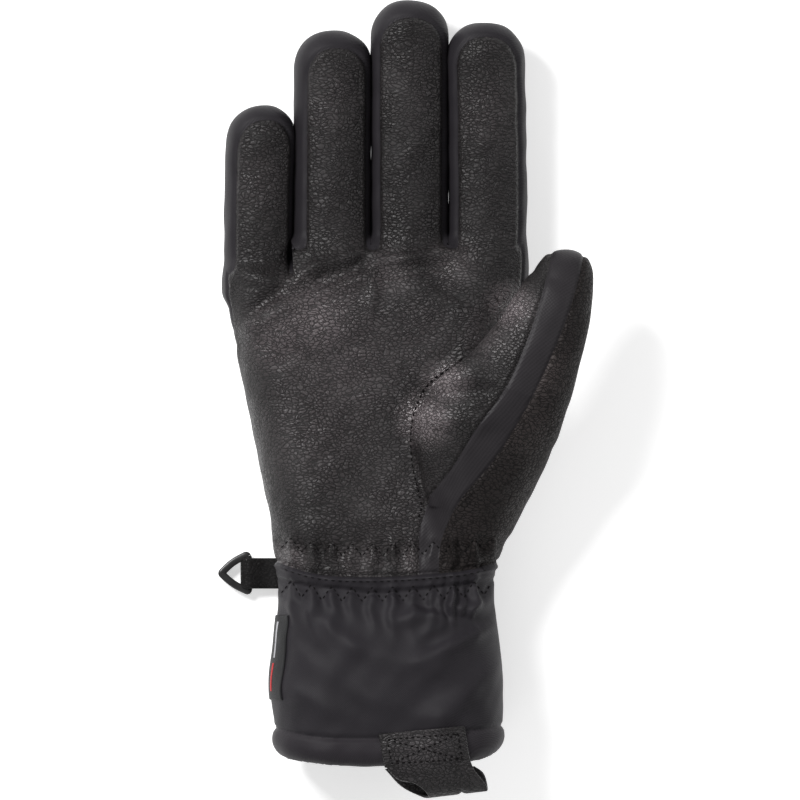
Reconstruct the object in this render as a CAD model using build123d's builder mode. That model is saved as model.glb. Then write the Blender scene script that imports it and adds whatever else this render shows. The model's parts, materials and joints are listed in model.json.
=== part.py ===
"""A right-hand insulated ski glove lying on its back, palm up.

Frame: millimetres, +X towards the thumb, +Y towards the fingertips, +Z out of the palm.
The origin is on the flat of the back of the hand, which lies at Z = 0.

The glove is nested layers round the hand: a skin of leather and softshell fabric, a waterproof
membrane, wadding and a fleece lining. Each layer is a form minus a smaller form. The layers are
then cut at the folds, into a hand, a cuff, and two segments of each finger and of the thumb.
"""

from build123d import *
import os
from math import cos, radians, sin, tan

os.makedirs("parts", exist_ok=True)

# Layers, as depths below the outer surface of the skin.
SKIN = 1.2
MEMBRANE = 1.7
ELASTIC = 2.7
WADDING = 4.4
FLEECE = 5.6
TAPE = 0.8  # how proud a sewn-on label or patch stands of the skin

# Folds between sections.
GAP = 0.5  # clearance between two sections
OVER = 3.0  # how far a form that is cut away runs past the form that it is cut from
REACH = 90.0  # half size of a cutting region
FAR = 320.0  # a region's extent away from its fold
CURL_ROOT, CURL_MIDDLE = 60.0, 50.0  # how far a finger folds at its root and at its middle
CURL_THUMB_ROOT, CURL_THUMB_MIDDLE = 30.0, 30.0
WRIST_FOLD = 25.0  # each way
PIVOT_SHARE = 0.35  # a finger's pivot is this share of its half depth towards the palm

# Glove body, one station per line: y, x of the little-finger edge, x of the thumb edge, bottom, top.
# The back of the hand dips below Z = 0 and is cut off flat there.
HEM_END = -136.0
HEM_SEAM = -124.5
BODY_STATIONS = (
    (HEM_END, -41.5, 43.5, 0.9, 49.0),
    (-108.0, -43.0, 44.0, 0.9, 50.5),
    (-88.0, -41.0, 42.0, 3.0, 48.0),
    (-74.0, -40.0, 40.2, 6.2, 44.0),
    (-57.0, -41.2, 41.5, 6.2, 41.5),
    (-42.0, -43.2, 42.6, 3.0, 40.0),
    (-28.0, -46.0, 43.2, -0.1, 38.0),
    (0.0, -51.5, 43.5, -0.1, 35.5),
    (25.0, -56.8, 46.0, -0.1, 34.0),
    (44.0, -60.0, 52.5, -0.1, 31.5),
    (49.0, -59.5, 52.0, 0.6, 30.0),
)
CORNER_SHARE = 0.49  # corner radius of a body station as a share of its height
# The web between the three longer fingers stands further up than the little finger's.
WEB_STATIONS = ((40.0, -31.0, 51.0, 1.0, 31.0), (57.5, -30.0, 50.5, 3.0, 28.0))
SIDE_SEAM_Z = 17.0  # the palm leather meets the shell of the back at this height
LEATHER_END = -65.6  # the palm leather is sewn to the cuff fabric here
WRIST_Y, WRIST_Z = -79.0, 25.0
CUFF_SEAM_Z = 24.0

# Fingers: x, width, y of the tip, y of the root fold, y of the middle fold.
FINGERS = {
    "index": (38.9, 28.7, 141.4, 69.0, 103.0),
    "middle": (9.4, 28.7, 149.8, 69.0, 107.0),
    "ring": (-20.1, 28.7, 138.4, 68.5, 101.0),
    "little": (-47.9, 25.3, 110.3, 60.0, 84.0),
}
FINGER_START = 38.0
FINGER_DEPTH = 26.0  # through a finger, back to palm
FINGER_ROOT_Z, FINGER_TIP_Z = 15.0, 20.0  # fingers are cut with a slight forward curve
TIP_ROUND = 15.0  # length of a rounded fingertip
TIP_SHARES = (0.0, 0.4, 0.7, 0.88, 0.98)
TIP_POWER = 2.3  # roundness of a fingertip: 2 is an ellipse
LEATHER_TIP = 6.5  # softshell shows this far round a fingertip
LEATHER_SIDE = 3.2  # and this far round its sides

# Thumb: stations along its own line in plan, each a distance, a half width and a half depth.
THUMB_ROOT = (50.0, 6.0)
THUMB_LEAN = 22.0  # degrees from +Y towards +X
THUMB_ROOT_Z, THUMB_TIP_Z = 47.0, 42.0
THUMB_LENGTH = 54.0
THUMB_STATIONS = (
    (-6.0, 20.0, 13.4),
    (7.0, 18.4, 13.2),
    (22.0, 15.2, 12.8),
    (38.0, 12.2, 11.8),
    (46.0, 10.0, 9.8),
    (51.0, 6.8, 6.6),
    (53.6, 2.4, 2.3),
)
THUMB_FOLDS = (9.0, 31.0)
THUMB_RISE = 25.0  # degrees out of the palm's plane that the thumb folds towards
# The ball of the thumb runs down to the wrist: x, y, z, lean, half width, half depth.
BALL_STATIONS = (
    (48.5, 3.0, 47.0, 22.0, 21.0, 13.4),
    (44.0, -9.0, 41.0, 20.0, 20.5, 16.0),
    (34.5, -34.0, 30.5, 12.0, 20.0, 16.5),
    (27.0, -50.0, 25.5, 5.0, 19.0, 15.0),
    (22.0, -66.0, 25.0, 0.0, 18.0, 13.5),
)
# The nose-wipe strip runs up the thumb: x and y of its left edge, then of its right edge.
STRIP_LEFT = ((12.6, -66.0), (13.4, -46.1), (15.9, -38.2), (42.0, 0.0), (52.6, 21.6), (62.0, 62.0))
STRIP_RIGHT = ((73.6, 62.0), (62.1, 16.1), (50.0, -8.0), (26.9, -39.2), (20.9, -52.1), (19.9, -66.0))

# Wrist strap, across the back of the wrist, and the plastic ring in its fold.
STRAP_Y, STRAP_WIDTH = -65.1, 11.5
STRAP_Z, STRAP_THICK = 3.55, 1.6
STRAP_END_X = 24.0  # the strap's fixed end, which bends when the strap is peeled off
STRAP_DOUBLED = 9.0  # length of the doubled stretch beside the ring
RING_BAR_X, RING_BAR = -51.4, 2.8  # place and thickness of the ring's straight bar
RING_APEX_X = -63.8
RING_HALF = 7.8  # half the ring's height, to the middle of its corners
FOLD_WIDTH, FOLD_NECK = 6.2, 2.8  # the strap narrows to pass through the ring
RING_CLEARANCE = 0.5  # round the bar, inside the strap's fold
PATCH_THICK = 0.8
HOOK_X, LOOP_X, ANCHOR_X = (-17.0, 8.0), (-19.0, 13.0), (15.0, 24.0)
ANCHOR_GAP = 0.2  # between the anchor tab and the strap that bends away from it

# Pull loop on the hem.
TAB_CENTRE, TAB_SIZE, TAB_TURN = (14.6, -130.2), (30.5, 12.0), 5.0
LOOP_CENTRE_X, LOOP_WIDTH = 17.5, 30.0
LOOP_ROUND, LOOP_LENGTH, LOOP_WALL = 4.2, 12.6, 1.5
LOOP_PIVOT_Y, LOOP_PIVOT_Z = HEM_END - GAP - LOOP_ROUND, 45.5

LABEL_Y, LABEL_Z = (-112.5, -80.3 - OVER), (23.0, 37.0)


def save(piece, name):
    """Write one finished piece under its own name."""
    piece.label = name
    export_step(piece, f"parts/{name}.step")


def body_section(station, inset):
    """Rounded rectangle across the glove body at one station."""
    y, left, right, bottom, top = station
    height = top - bottom - 2 * inset
    centre = ((left + right) / 2, y, (bottom + top) / 2)
    with BuildSketch(Plane(origin=centre, x_dir=(1, 0, 0), z_dir=(0, 1, 0))) as section:
        RectangleRounded(right - left - 2 * inset, height, height * CORNER_SHARE)
    return section.sketch


def oval_section(centre, lean, half_width, half_depth):
    """Ellipse across a finger, leaning in plan by lean degrees from +Y towards +X."""
    along = (sin(radians(lean)), cos(radians(lean)), 0)
    across = (cos(radians(lean)), -sin(radians(lean)), 0)
    with BuildSketch(Plane(origin=centre, x_dir=across, z_dir=along)) as section:
        Ellipse(half_width, half_depth)
    return section.sketch


def body_form(inset, over=0.0):
    """The glove body from the hem to the finger roots, run past the hem by over."""
    stations = [(HEM_END - over, *BODY_STATIONS[0][1:]), *BODY_STATIONS[1:-1]]
    last = BODY_STATIONS[-1]
    stations.append((last[0] - inset, *last[1:]))
    with BuildPart() as form:
        loft([body_section(station, inset) for station in stations], ruled=True)
    return form.part


def web_form(inset):
    """The web that joins the roots of the three longer fingers."""
    low, high = WEB_STATIONS
    with BuildPart() as form:
        loft([body_section(low, inset), body_section((high[0] - inset, *high[1:]), inset)], ruled=True)
    return form.part


def finger_centre(name, y):
    """Middle of a finger at a height y."""
    x, _, y_tip, _, _ = FINGERS[name]
    run = (y - FINGER_START) / (y_tip - FINGER_START)
    return (x, y, FINGER_ROOT_Z + (FINGER_TIP_Z - FINGER_ROOT_Z) * run**2)


def finger_form(name, inset):
    """One whole finger, from inside the hand to its rounded tip."""
    _, width, y_tip, _, y_middle = FINGERS[name]
    stations = [(FINGER_START, 1.0), (y_middle, 1.0)]
    for share in TIP_SHARES:
        y = y_tip - TIP_ROUND + (TIP_ROUND - inset) * share
        stations.append((y, (1 - share**TIP_POWER) ** (1 / TIP_POWER)))
    sections = [
        oval_section(
            finger_centre(name, y), 0, (width / 2 - inset) * scale, (FINGER_DEPTH / 2 - inset) * scale
        )
        for y, scale in stations
    ]
    with BuildPart() as form:
        loft(sections, ruled=True)
    return form.part


def thumb_axes():
    """Directions along the thumb, across it towards its fold, and of its hinges."""
    lean, rise = radians(THUMB_LEAN), radians(THUMB_RISE)
    along = Vector(sin(lean), cos(lean), 0)
    fold = Vector(-cos(lean) * cos(rise), sin(lean) * cos(rise), sin(rise))
    return along, fold, along.cross(fold)


def thumb_centre(distance):
    """Middle of the thumb at a distance along it."""
    along, _, _ = thumb_axes()
    z = THUMB_ROOT_Z + (THUMB_TIP_Z - THUMB_ROOT_Z) * max(distance, 0) / THUMB_LENGTH
    return Vector(*THUMB_ROOT, z) + along * distance


def thumb_form(inset):
    """The whole thumb above its ball."""
    sections = []
    for distance, half_width, half_depth in THUMB_STATIONS:
        at = distance - inset * max(distance, 0) / THUMB_LENGTH
        thin = inset * min(1.0, half_width / (2 * FLEECE))
        sections.append(oval_section(thumb_centre(at), THUMB_LEAN, half_width - thin, half_depth - thin))
    with BuildPart() as form:
        loft(sections, ruled=True)
    return form.part


def ball_form(inset):
    """The ball of the thumb."""
    sections = [oval_section((x, y, z), lean, w - inset, d - inset) for x, y, z, lean, w, d in BALL_STATIONS]
    with BuildPart() as form:
        loft(sections, ruled=True)
    return form.part


def fold_region(plane, side, palm_angle, back_angle, over=0.0):
    """The space on one side of a fold, leaning back on both faces to leave room for folding.

    The plane stands at the pivot, with X along the limb and Y towards the palm.
    """
    start = side * (GAP / 2 - over)
    palm_lean = tan(radians(palm_angle / 2)) * REACH
    back_lean = tan(radians(back_angle / 2)) * REACH
    outline = (
        (start, 0),
        (start + side * palm_lean, REACH),
        (side * FAR, REACH),
        (side * FAR, -REACH),
        (start + side * back_lean, -REACH),
    )
    with BuildPart() as region:
        with BuildSketch(plane):
            with BuildLine():
                Polyline(*outline, close=True)
            make_face()
        extrude(amount=REACH, both=True)
    return region.part


def finger_fold(name, fold):
    """Plane at a finger's root fold (0) or middle fold (1)."""
    x, y, z = finger_centre(name, FINGERS[name][3 + fold])
    pivot = (x, y, z + PIVOT_SHARE * FINGER_DEPTH / 2)
    return Plane(origin=pivot, x_dir=(0, 1, 0), z_dir=(1, 0, 0))


def thumb_fold(fold):
    """Plane at the thumb's root fold (0) or middle fold (1)."""
    along, towards, axis = thumb_axes()
    half = THUMB_STATIONS[1 + fold][1]
    pivot = thumb_centre(THUMB_FOLDS[fold]) + towards * (PIVOT_SHARE * half)
    return Plane(origin=pivot, x_dir=along, z_dir=axis)


def wrist_region(side):
    """The hand's side (1) or the cuff's side (-1) of the wrist."""
    plane = Plane(origin=(0, WRIST_Y, WRIST_Z), x_dir=(0, 1, 0), z_dir=(1, 0, 0))
    return fold_region(plane, side, WRIST_FOLD, WRIST_FOLD)


def glove_form(inset, over=0.0):
    """Hand and cuff as one solid, with stubs of the fingers and thumb up to their root folds."""
    with BuildPart() as form:
        add(body_form(inset, over))
        add(web_form(inset))
        add(ball_form(inset))
        for name in FINGERS:
            with BuildPart(mode=Mode.PRIVATE) as stub:
                add(finger_form(name, inset))
                add(fold_region(finger_fold(name, 0), -1, CURL_ROOT, 0, over), mode=Mode.INTERSECT)
            add(stub.part)
        with BuildPart(mode=Mode.PRIVATE) as stub:
            add(thumb_form(inset))
            add(fold_region(thumb_fold(0), -1, CURL_THUMB_ROOT, 0, over), mode=Mode.INTERSECT)
        add(stub.part)
    return form.part


def layer(outer, inner):
    """What is left of one form when a smaller one is taken out of it."""
    with BuildPart() as wall:
        add(outer)
        add(inner, mode=Mode.SUBTRACT)
    return wall.part


def kept(piece, *regions):
    """The part of a piece that is inside every region, without crumbs."""
    with BuildPart() as cut:
        add(piece)
        for region in regions:
            add(region, mode=Mode.INTERSECT)
    return cut.part.solids().sort_by(SortBy.VOLUME)[-1]


def less(piece, *regions):
    """The part of a piece that is outside every region, without crumbs."""
    with BuildPart() as cut:
        add(piece)
        for region in regions:
            add(region, mode=Mode.SUBTRACT)
    return cut.part.solids().sort_by(SortBy.VOLUME)[-1]


def block(x_range, y_range, z_range):
    """A box between three pairs of limits."""
    with BuildPart() as box:
        with BuildSketch(Plane.XY.offset(z_range[0])):
            with Locations((sum(x_range) / 2, sum(y_range) / 2)):
                Rectangle(x_range[1] - x_range[0], y_range[1] - y_range[0])
        extrude(amount=z_range[1] - z_range[0])
    return box.part


def plan_prism(outline, z_low, z_high):
    """A plan outline, stood up between two heights."""
    with BuildPart() as prism:
        with BuildSketch(Plane.XY.offset(z_low)):
            with BuildLine():
                Polyline(*outline, close=True)
            make_face()
        extrude(amount=z_high - z_low)
    return prism.part


WIDE = (-REACH, REACH)
LONG = (-FAR, FAR)


def make_fingers():
    """Two segments of each finger: leather face, fabric back, and liner."""
    for name, (x, width, y_tip, _, _) in FINGERS.items():
        forms = [finger_form(name, inset) for inset in (0, SKIN, FLEECE)]
        skin, liner = layer(forms[0], forms[1]), layer(forms[1], forms[2])
        half = width / 2 - LEATHER_SIDE
        face = block((x - half, x + half), (0, y_tip - LEATHER_TIP), (FINGER_TIP_Z, REACH))
        root, middle = finger_fold(name, 0), finger_fold(name, 1)
        segments = {
            "proximal": (
                fold_region(root, 1, CURL_ROOT, 0),
                fold_region(middle, -1, CURL_MIDDLE, 0),
            ),
            "distal": (fold_region(middle, 1, CURL_MIDDLE, 0),),
        }
        for segment, regions in segments.items():
            shell = kept(skin, *regions)
            save(kept(shell, face), f"{name}_{segment}_leather")
            save(less(shell, face), f"{name}_{segment}_fabric")
            save(kept(liner, *regions), f"{name}_{segment}_liner")


def strip_prism():
    """The nose-wipe strip's outline, above the middle of the thumb's ball."""
    return plan_prism((*STRIP_LEFT, *STRIP_RIGHT), WRIST_Z, REACH)


def strip_side(side):
    """All that lies to the left (0) or the right (1) of the strip's centre line."""
    centre = [((a[0] + b[0]) / 2, (a[1] + b[1]) / 2) for a, b in zip(STRIP_LEFT, reversed(STRIP_RIGHT))]
    edge = (WIDE[side], centre[-1][1]), (WIDE[side], centre[0][1])
    return plan_prism((*centre, *edge), -REACH, REACH)


def make_thumb():
    """Two segments of the thumb: front leather, outer leather, strip and liner."""
    forms = [thumb_form(inset) for inset in (0, SKIN, FLEECE)]
    skin, liner = layer(forms[0], forms[1]), layer(forms[1], forms[2])
    upper = block(WIDE, LONG, (THUMB_TIP_Z, REACH))
    segments = {
        "root": (
            fold_region(thumb_fold(0), 1, CURL_THUMB_ROOT, 0),
            fold_region(thumb_fold(1), -1, CURL_THUMB_MIDDLE, 0),
        ),
        "tip": (fold_region(thumb_fold(1), 1, CURL_THUMB_MIDDLE, 0),),
    }
    strip = kept(strip_prism(), upper)
    for segment, regions in segments.items():
        shell = kept(skin, *regions)
        save(kept(shell, strip), f"thumb_{segment}_wipe_strip")
        rest = less(shell, strip)
        save(kept(rest, strip_side(0)), f"thumb_{segment}_front_leather")
        save(kept(rest, strip_side(1)), f"thumb_{segment}_outer_leather")
        save(kept(liner, *regions), f"thumb_{segment}_liner")


def make_hand_and_cuff():
    """The layers of the hand and of the cuff, with their elastics and hem."""
    depths = (SKIN, MEMBRANE, WADDING, FLEECE)
    outer = {depth: glove_form(depth) for depth in (0, SKIN, MEMBRANE, WADDING)}
    inner = {depth: glove_form(depth, OVER) for depth in depths}
    hand, cuff = wrist_region(1), wrist_region(-1)

    skin = layer(outer[0], inner[SKIN])
    hand_skin, cuff_skin = kept(skin, hand), kept(skin, cuff)
    palm_side = block(WIDE, LONG, (SIDE_SEAM_Z, REACH))
    below_flat = block(WIDE, LONG, (-REACH, 0))
    save(less(hand_skin, palm_side, below_flat), "back_shell")
    palm = kept(hand_skin, palm_side)
    above_leather = block(WIDE, (LEATHER_END, FAR), WIDE)
    save(less(palm, above_leather), "wrist_front_shell")
    palm = kept(palm, above_leather)
    strip = strip_prism()
    save(kept(palm, strip), "palm_wipe_strip")
    rest = less_all(palm, strip)
    save(kept(rest, strip_side(0)), "palm_leather")
    save(kept(rest, strip_side(1)), "thumb_ball_leather")

    save(kept(layer(outer[SKIN], inner[MEMBRANE]), hand), "hand_membrane")
    wadding = layer(outer[MEMBRANE], inner[WADDING])
    elastics = layer(outer[MEMBRANE], glove_form(ELASTIC, OVER))
    bands = {}
    for name, y in {"upper_wrist_elastic": -56.0, "lower_wrist_elastic": -71.0}.items():
        bands[name] = kept(elastics, block(WIDE, (y - 2.5, y + 2.5), (WRIST_Z + 4, REACH)))
        save(bands[name], name)
    save(less(kept(wadding, hand), *bands.values()), "hand_wadding")
    fleece = layer(outer[WADDING], inner[FLEECE])
    save(kept(fleece, hand), "hand_fleece")

    above_hem = block(WIDE, (HEM_SEAM, FAR), WIDE)
    hem = less(kept(layer(outer[0], inner[FLEECE]), cuff), above_hem)
    save(hem, "hem_binding")
    shell = kept(cuff_skin, above_hem)
    front = block(WIDE, LONG, (CUFF_SEAM_Z, REACH))
    save(kept(shell, front), "cuff_front_shell")
    save(less(shell, front), "cuff_back_shell")
    cuff_wadding = layer(outer[SKIN], inner[WADDING])
    save(kept(cuff_wadding, cuff, above_hem), "cuff_wadding")
    save(kept(fleece, cuff, above_hem), "cuff_fleece")


def less_all(piece, region):
    """All that is left of a piece outside a region, in however many solids."""
    with BuildPart() as cut:
        add(piece)
        add(region, mode=Mode.SUBTRACT)
    return cut.part


def make_label():
    """A woven label on the cuff's little-finger edge."""
    edge = layer(body_form(-TAPE), body_form(0, OVER))
    save(kept(edge, block((-REACH, -20), LABEL_Y, LABEL_Z)), "side_label")


def make_strap():
    """The wrist strap and its hook patch, its anchor and loop patch on the glove, and the ring."""
    low = STRAP_Z - STRAP_THICK / 2
    fold_inner = RING_BAR / 2 + RING_CLEARANCE
    fold_outer = fold_inner + STRAP_THICK
    y_range = (STRAP_Y - STRAP_WIDTH / 2, STRAP_Y + STRAP_WIDTH / 2)
    fold_plane = Plane(origin=(RING_BAR_X, STRAP_Y, STRAP_Z), x_dir=(1, 0, 0), z_dir=(0, -1, 0))
    with BuildPart() as strap:
        wide_from = RING_BAR_X + FOLD_NECK
        add(block((wide_from, STRAP_END_X), y_range, (low, low + STRAP_THICK)))
        doubled = (STRAP_Z - STRAP_THICK, STRAP_Z + STRAP_THICK)
        add(block((wide_from, wide_from + STRAP_DOUBLED), y_range, doubled))
        neck = (STRAP_Y - FOLD_WIDTH / 2, STRAP_Y + FOLD_WIDTH / 2)
        add(block((RING_BAR_X, wide_from + 1), neck, doubled))
        with BuildSketch(fold_plane):
            Circle(fold_outer)
        extrude(amount=FOLD_WIDTH / 2, both=True)
        with BuildSketch(fold_plane):
            Circle(fold_inner)
        extrude(amount=FOLD_WIDTH / 2, both=True, mode=Mode.SUBTRACT)
    save(strap.part, "wrist_strap")

    patch_y = (y_range[0] + 1, y_range[1] - 1)
    top = low + STRAP_THICK
    save(block(HOOK_X, patch_y, (top, top + PATCH_THICK)), "strap_hook_patch")
    shell_z = min(station[3] for station in BODY_STATIONS if -75 < station[0] < -50)
    save(block(LOOP_X, patch_y, (shell_z - PATCH_THICK, shell_z)), "wrist_loop_patch")
    save(block(ANCHOR_X, patch_y, (top + ANCHOR_GAP, shell_z)), "strap_anchor")

    corners = (
        (RING_BAR_X, STRAP_Y - RING_HALF),
        (RING_BAR_X, STRAP_Y + RING_HALF),
        (RING_APEX_X + RING_BAR / 2, STRAP_Y),
    )
    with BuildPart() as ring:
        with BuildSketch(Plane.XY.offset(STRAP_Z - RING_BAR / 2)):
            with BuildLine() as loop:
                Polyline(*corners, close=True)
            make_face()
            offset(amount=RING_BAR / 2, kind=Kind.ARC)
            with BuildLine():
                offset(loop.line, amount=-RING_BAR / 2, kind=Kind.INTERSECTION)
            make_face(mode=Mode.SUBTRACT)
        extrude(amount=RING_BAR)
        chamfer(ring.edges().filter_by(GeomType.LINE).filter_by(Plane.XY), 0.5)
    save(ring.part, "strap_ring")


def make_pull_loop():
    """The leather tab sewn over the hem, and the loop that hangs from it."""
    with BuildPart() as outline:
        with BuildSketch(Plane.XY.offset(WRIST_Z)):
            with Locations(TAB_CENTRE):
                Rectangle(*TAB_SIZE, rotation=TAB_TURN)
        extrude(amount=REACH)
    cover = layer(body_form(-2 * TAPE), body_form(0, OVER))
    save(kept(cover, outline.part), "pull_loop_tab")

    start = (LOOP_CENTRE_X, LOOP_PIVOT_Y, LOOP_PIVOT_Z)
    reach = LOOP_LENGTH - 2 * LOOP_ROUND
    with BuildPart() as loop:
        with BuildSketch(Plane(origin=start, x_dir=(0, -1, 0), z_dir=(1, 0, 0))):
            with Locations((reach / 2, 0)):
                SlotCenterToCenter(reach, 2 * LOOP_ROUND)
                SlotCenterToCenter(reach, 2 * (LOOP_ROUND - LOOP_WALL), mode=Mode.SUBTRACT)
        extrude(amount=LOOP_WIDTH / 2, both=True)
    save(loop.part, "pull_loop")


make_strap()
make_pull_loop()
make_label()
make_fingers()
make_thumb()
make_hand_and_cuff()
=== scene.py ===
"""Looks of the ski glove: one continuous padded skin, cut into the panels it is sewn from.

Lengths are in millimetres until a mesh is made, and the frame is the CAD model's: +X towards the
thumb, +Y towards the fingertips, +Z out of the palm.
"""

import json
import math

import bpy
import numpy as np
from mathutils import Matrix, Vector
from mathutils.bvhtree import BVHTree


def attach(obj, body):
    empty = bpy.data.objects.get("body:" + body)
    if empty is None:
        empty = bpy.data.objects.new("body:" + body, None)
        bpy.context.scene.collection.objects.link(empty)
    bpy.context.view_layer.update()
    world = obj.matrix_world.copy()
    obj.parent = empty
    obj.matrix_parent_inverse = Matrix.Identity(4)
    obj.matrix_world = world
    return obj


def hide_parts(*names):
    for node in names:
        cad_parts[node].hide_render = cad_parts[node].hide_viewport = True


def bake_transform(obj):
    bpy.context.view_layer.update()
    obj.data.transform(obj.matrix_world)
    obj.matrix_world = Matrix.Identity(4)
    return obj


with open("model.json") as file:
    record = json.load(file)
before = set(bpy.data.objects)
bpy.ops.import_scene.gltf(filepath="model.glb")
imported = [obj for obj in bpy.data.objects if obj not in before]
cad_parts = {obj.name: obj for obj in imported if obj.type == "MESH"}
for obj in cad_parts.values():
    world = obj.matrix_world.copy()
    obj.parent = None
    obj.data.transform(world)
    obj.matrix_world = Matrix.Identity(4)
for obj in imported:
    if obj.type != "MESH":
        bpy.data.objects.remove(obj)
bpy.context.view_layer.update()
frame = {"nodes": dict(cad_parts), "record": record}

MM = 0.001
CELL = 0.8  # size of the grid that the skin is drawn on

# ---- Sizes ----

# Glove body: y, little-finger edge, thumb edge, bottom, top.
BODY = (
    (-140.0, -41.6, 43.6, 0.9, 49.0),
    (-131.0, -42.2, 44.2, 0.9, 49.6),
    (-121.0, -41.6, 44.0, 0.9, 50.2),
    (-108.0, -43.2, 44.2, 0.9, 50.5),
    (-88.0, -41.2, 42.4, 2.8, 48.0),
    (-74.0, -40.3, 40.6, 5.8, 44.2),
    (-57.0, -41.6, 41.7, 5.8, 41.8),
    (-42.0, -43.6, 42.8, 2.8, 40.4),
    (-28.0, -46.3, 43.4, 0.0, 38.4),
    (0.0, -51.9, 43.8, 0.0, 36.0),
    (25.0, -57.0, 46.2, 0.0, 34.4),
    (44.0, -60.2, 52.3, 0.0, 31.8),
    (60.0, -60.4, 52.4, 2.0, 28.4),
)
CORNER_SHARE = 0.985  # corner radius of the body as a share of its half height
WEB_LITTLE, WEB_LONG = 48.2, 57.8  # where the crotches are, beside the little finger and elsewhere
CROTCH = 1.7  # how far the hand reaches up between the fingers
WEB_X = -34.7  # between the little finger and the ring finger
HEM_END, MOUTH_DEPTH, LINING = -137.0, 26.0, 6.2
# The hem's lower edge: x, y.
HEM_EDGE = (
    (-46.0, -126.0), (-42.5, -129.6), (-39.0, -132.6), (-35.0, -134.5), (-28.0, -135.7), (-14.0, -136.9),
    (2.0, -137.0), (18.0, -136.7), (30.0, -135.7), (37.0, -134.2), (41.0, -131.8), (44.5, -128.4),
    (48.0, -125.0),
)

# Fingers: x, half width, y of the tip, root pivot, middle pivot, sideways lean of the tip.
FINGERS = {
    "index": (38.6, 13.95, 141.6, 69.0, 103.0, -1.2),
    "middle": (9.3, 13.75, 150.0, 69.0, 107.0, 0.0),
    "ring": (-20.2, 13.85, 138.6, 68.5, 101.0, 0.5),
    "little": (-47.9, 12.55, 110.5, 60.0, 84.0, 1.6),
}
FINGER_START = 38.0
FINGER_HALF_DEPTH = 13.2
FINGER_ROOT_Z, FINGER_TIP_Z = 15.0, 20.0
TIP_ROUND, TIP_POWER = 15.0, 2.3
# How far the leather face stands in from a finger's left edge, right edge and tip.
PANELS = {
    "index": (3.2, 2.6, 5.2),
    "middle": (2.8, 1.9, 6.6),
    "ring": (4.6, 1.4, 6.6),
    "little": (4.0, 1.2, 5.4),
}
# The skin is drawn with room between the fingers, then each is swelled to lie against the next:
# x and half width after that.
SWELLED = {
    "index": (38.45, 14.8),
    "middle": (9.2, 14.65),
    "ring": (-20.0, 14.7),
    "little": (-47.55, 13.2),
}

# Thumb with its ball: y, left edge, right edge, middle height, half depth.
THUMB = (
    (-70.0, 14.0, 40.0, 25.0, 15.0),
    (-57.0, 13.0, 44.0, 25.0, 19.0),
    (-48.0, 12.5, 48.1, 26.0, 20.5),
    (-40.0, 13.0, 52.3, 28.0, 21.3),
    (-34.0, 12.6, 55.4, 29.5, 22.2),
    (-23.0, 10.6, 60.6, 33.5, 21.5),
    (-12.0, 10.0, 65.0, 38.3, 19.6),
    (-1.0, 13.2, 68.8, 42.6, 17.4),
    (7.0, 19.0, 71.4, 44.8, 15.3),
    (13.5, 27.5, 72.8, 46.2, 13.9),
    (19.0, 33.4, 74.2, 46.7, 13.3),
    (26.0, 39.8, 75.9, 46.2, 13.0),
    (36.0, 48.4, 77.4, 44.8, 12.3),
    (45.0, 53.9, 78.0, 43.2, 11.0),
    (56.0, 57.0, 78.0, 42.0, 9.8),
)
# Its padded core: distance along its leaning line, half width, half depth.
THUMB_CORE = (
    (-20.0, 20.8, 16.4), (-14.0, 20.9, 16.2), (-6.0, 20.4, 14.3), (7.0, 18.6, 13.4), (22.0, 15.4, 13.0),
    (38.0, 12.4, 12.0),
)
THUMB_TIP_Y, THUMB_ROUND = 56.2, 13.0
THUMB_ROOT, THUMB_LEAN = (50.0, 6.0), math.radians(22.0)
# Along the thumb: where its first fold starts, where the two meet, and where the second ends.
THUMB_START, THUMB_CUT, THUMB_END = -3.0, 21.0, 41.0
# Where the front of the thumb is sewn to the palm: y, x.
GUSSET = (
    (-66.0, 12.6), (-46.0, 13.4), (-40.1, 15.2), (-34.1, 13.9), (-23.1, 11.7), (-12.0, 11.4),
    (-1.0, 13.8), (7.1, 18.9), (13.6, 27.9), (20.0, 34.0),
)
STRIP_LEFT = (
    (-66.0, 12.6), (-46.1, 13.4), (-38.2, 15.9), (-24.1, 25.9), (-9.0, 35.0), (0.0, 42.0),
    (21.6, 52.6), (40.2, 58.6), (60.0, 63.0),
)
STRIP_RIGHT = (
    (-66.0, 19.9), (-52.1, 20.9), (-39.2, 26.9), (-22.1, 41.0), (-8.0, 50.0), (16.1, 62.1),
    (31.1, 68.1), (50.3, 73.6), (60.0, 75.0),
)
SIDE_SEAM_Z = 16.5
# How high up the side of the palm the leather starts, as a share of the half height: y, share.
SIDE_SEAM = ((-70.0, 0.0), (-20.0, 0.0), (5.0, 0.08), (20.0, 0.34), (35.0, 0.5), (60.0, 0.58))

# Wrist and cuff seams: x, y.
WRIST_SEAM = (
    (-46.0, -59.5), (-41.9, -60.5), (-28.9, -64.5), (-6.1, -66.3), (3.6, -66.0), (19.9, -64.9),
    (28.0, -64.1), (43.5, -60.8), (50.0, -59.5),
)
# The lower edge of the band of doubled fabric below the wrist seam.
BAND_EDGE = (
    (-46.0, -65.2), (-37.0, -67.8), (-26.0, -69.9), (-14.0, -70.9), (-7.0, -72.0), (8.0, -71.4),
    (20.0, -70.2), (34.0, -68.4), (46.0, -66.2),
)
HEM_SEAM = ((-46.0, -121.6), (-29.0, -125.5), (-4.4, -126.6), (28.0, -124.1), (46.0, -121.6))
ZIGZAG_PITCH, ZIGZAG_START = 7.6, -39.0
LEATHER_ZIGZAG = (-53.6, -58.2)  # peaks and valleys
FABRIC_ZIGZAG = (-69.6, -75.2)

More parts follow.
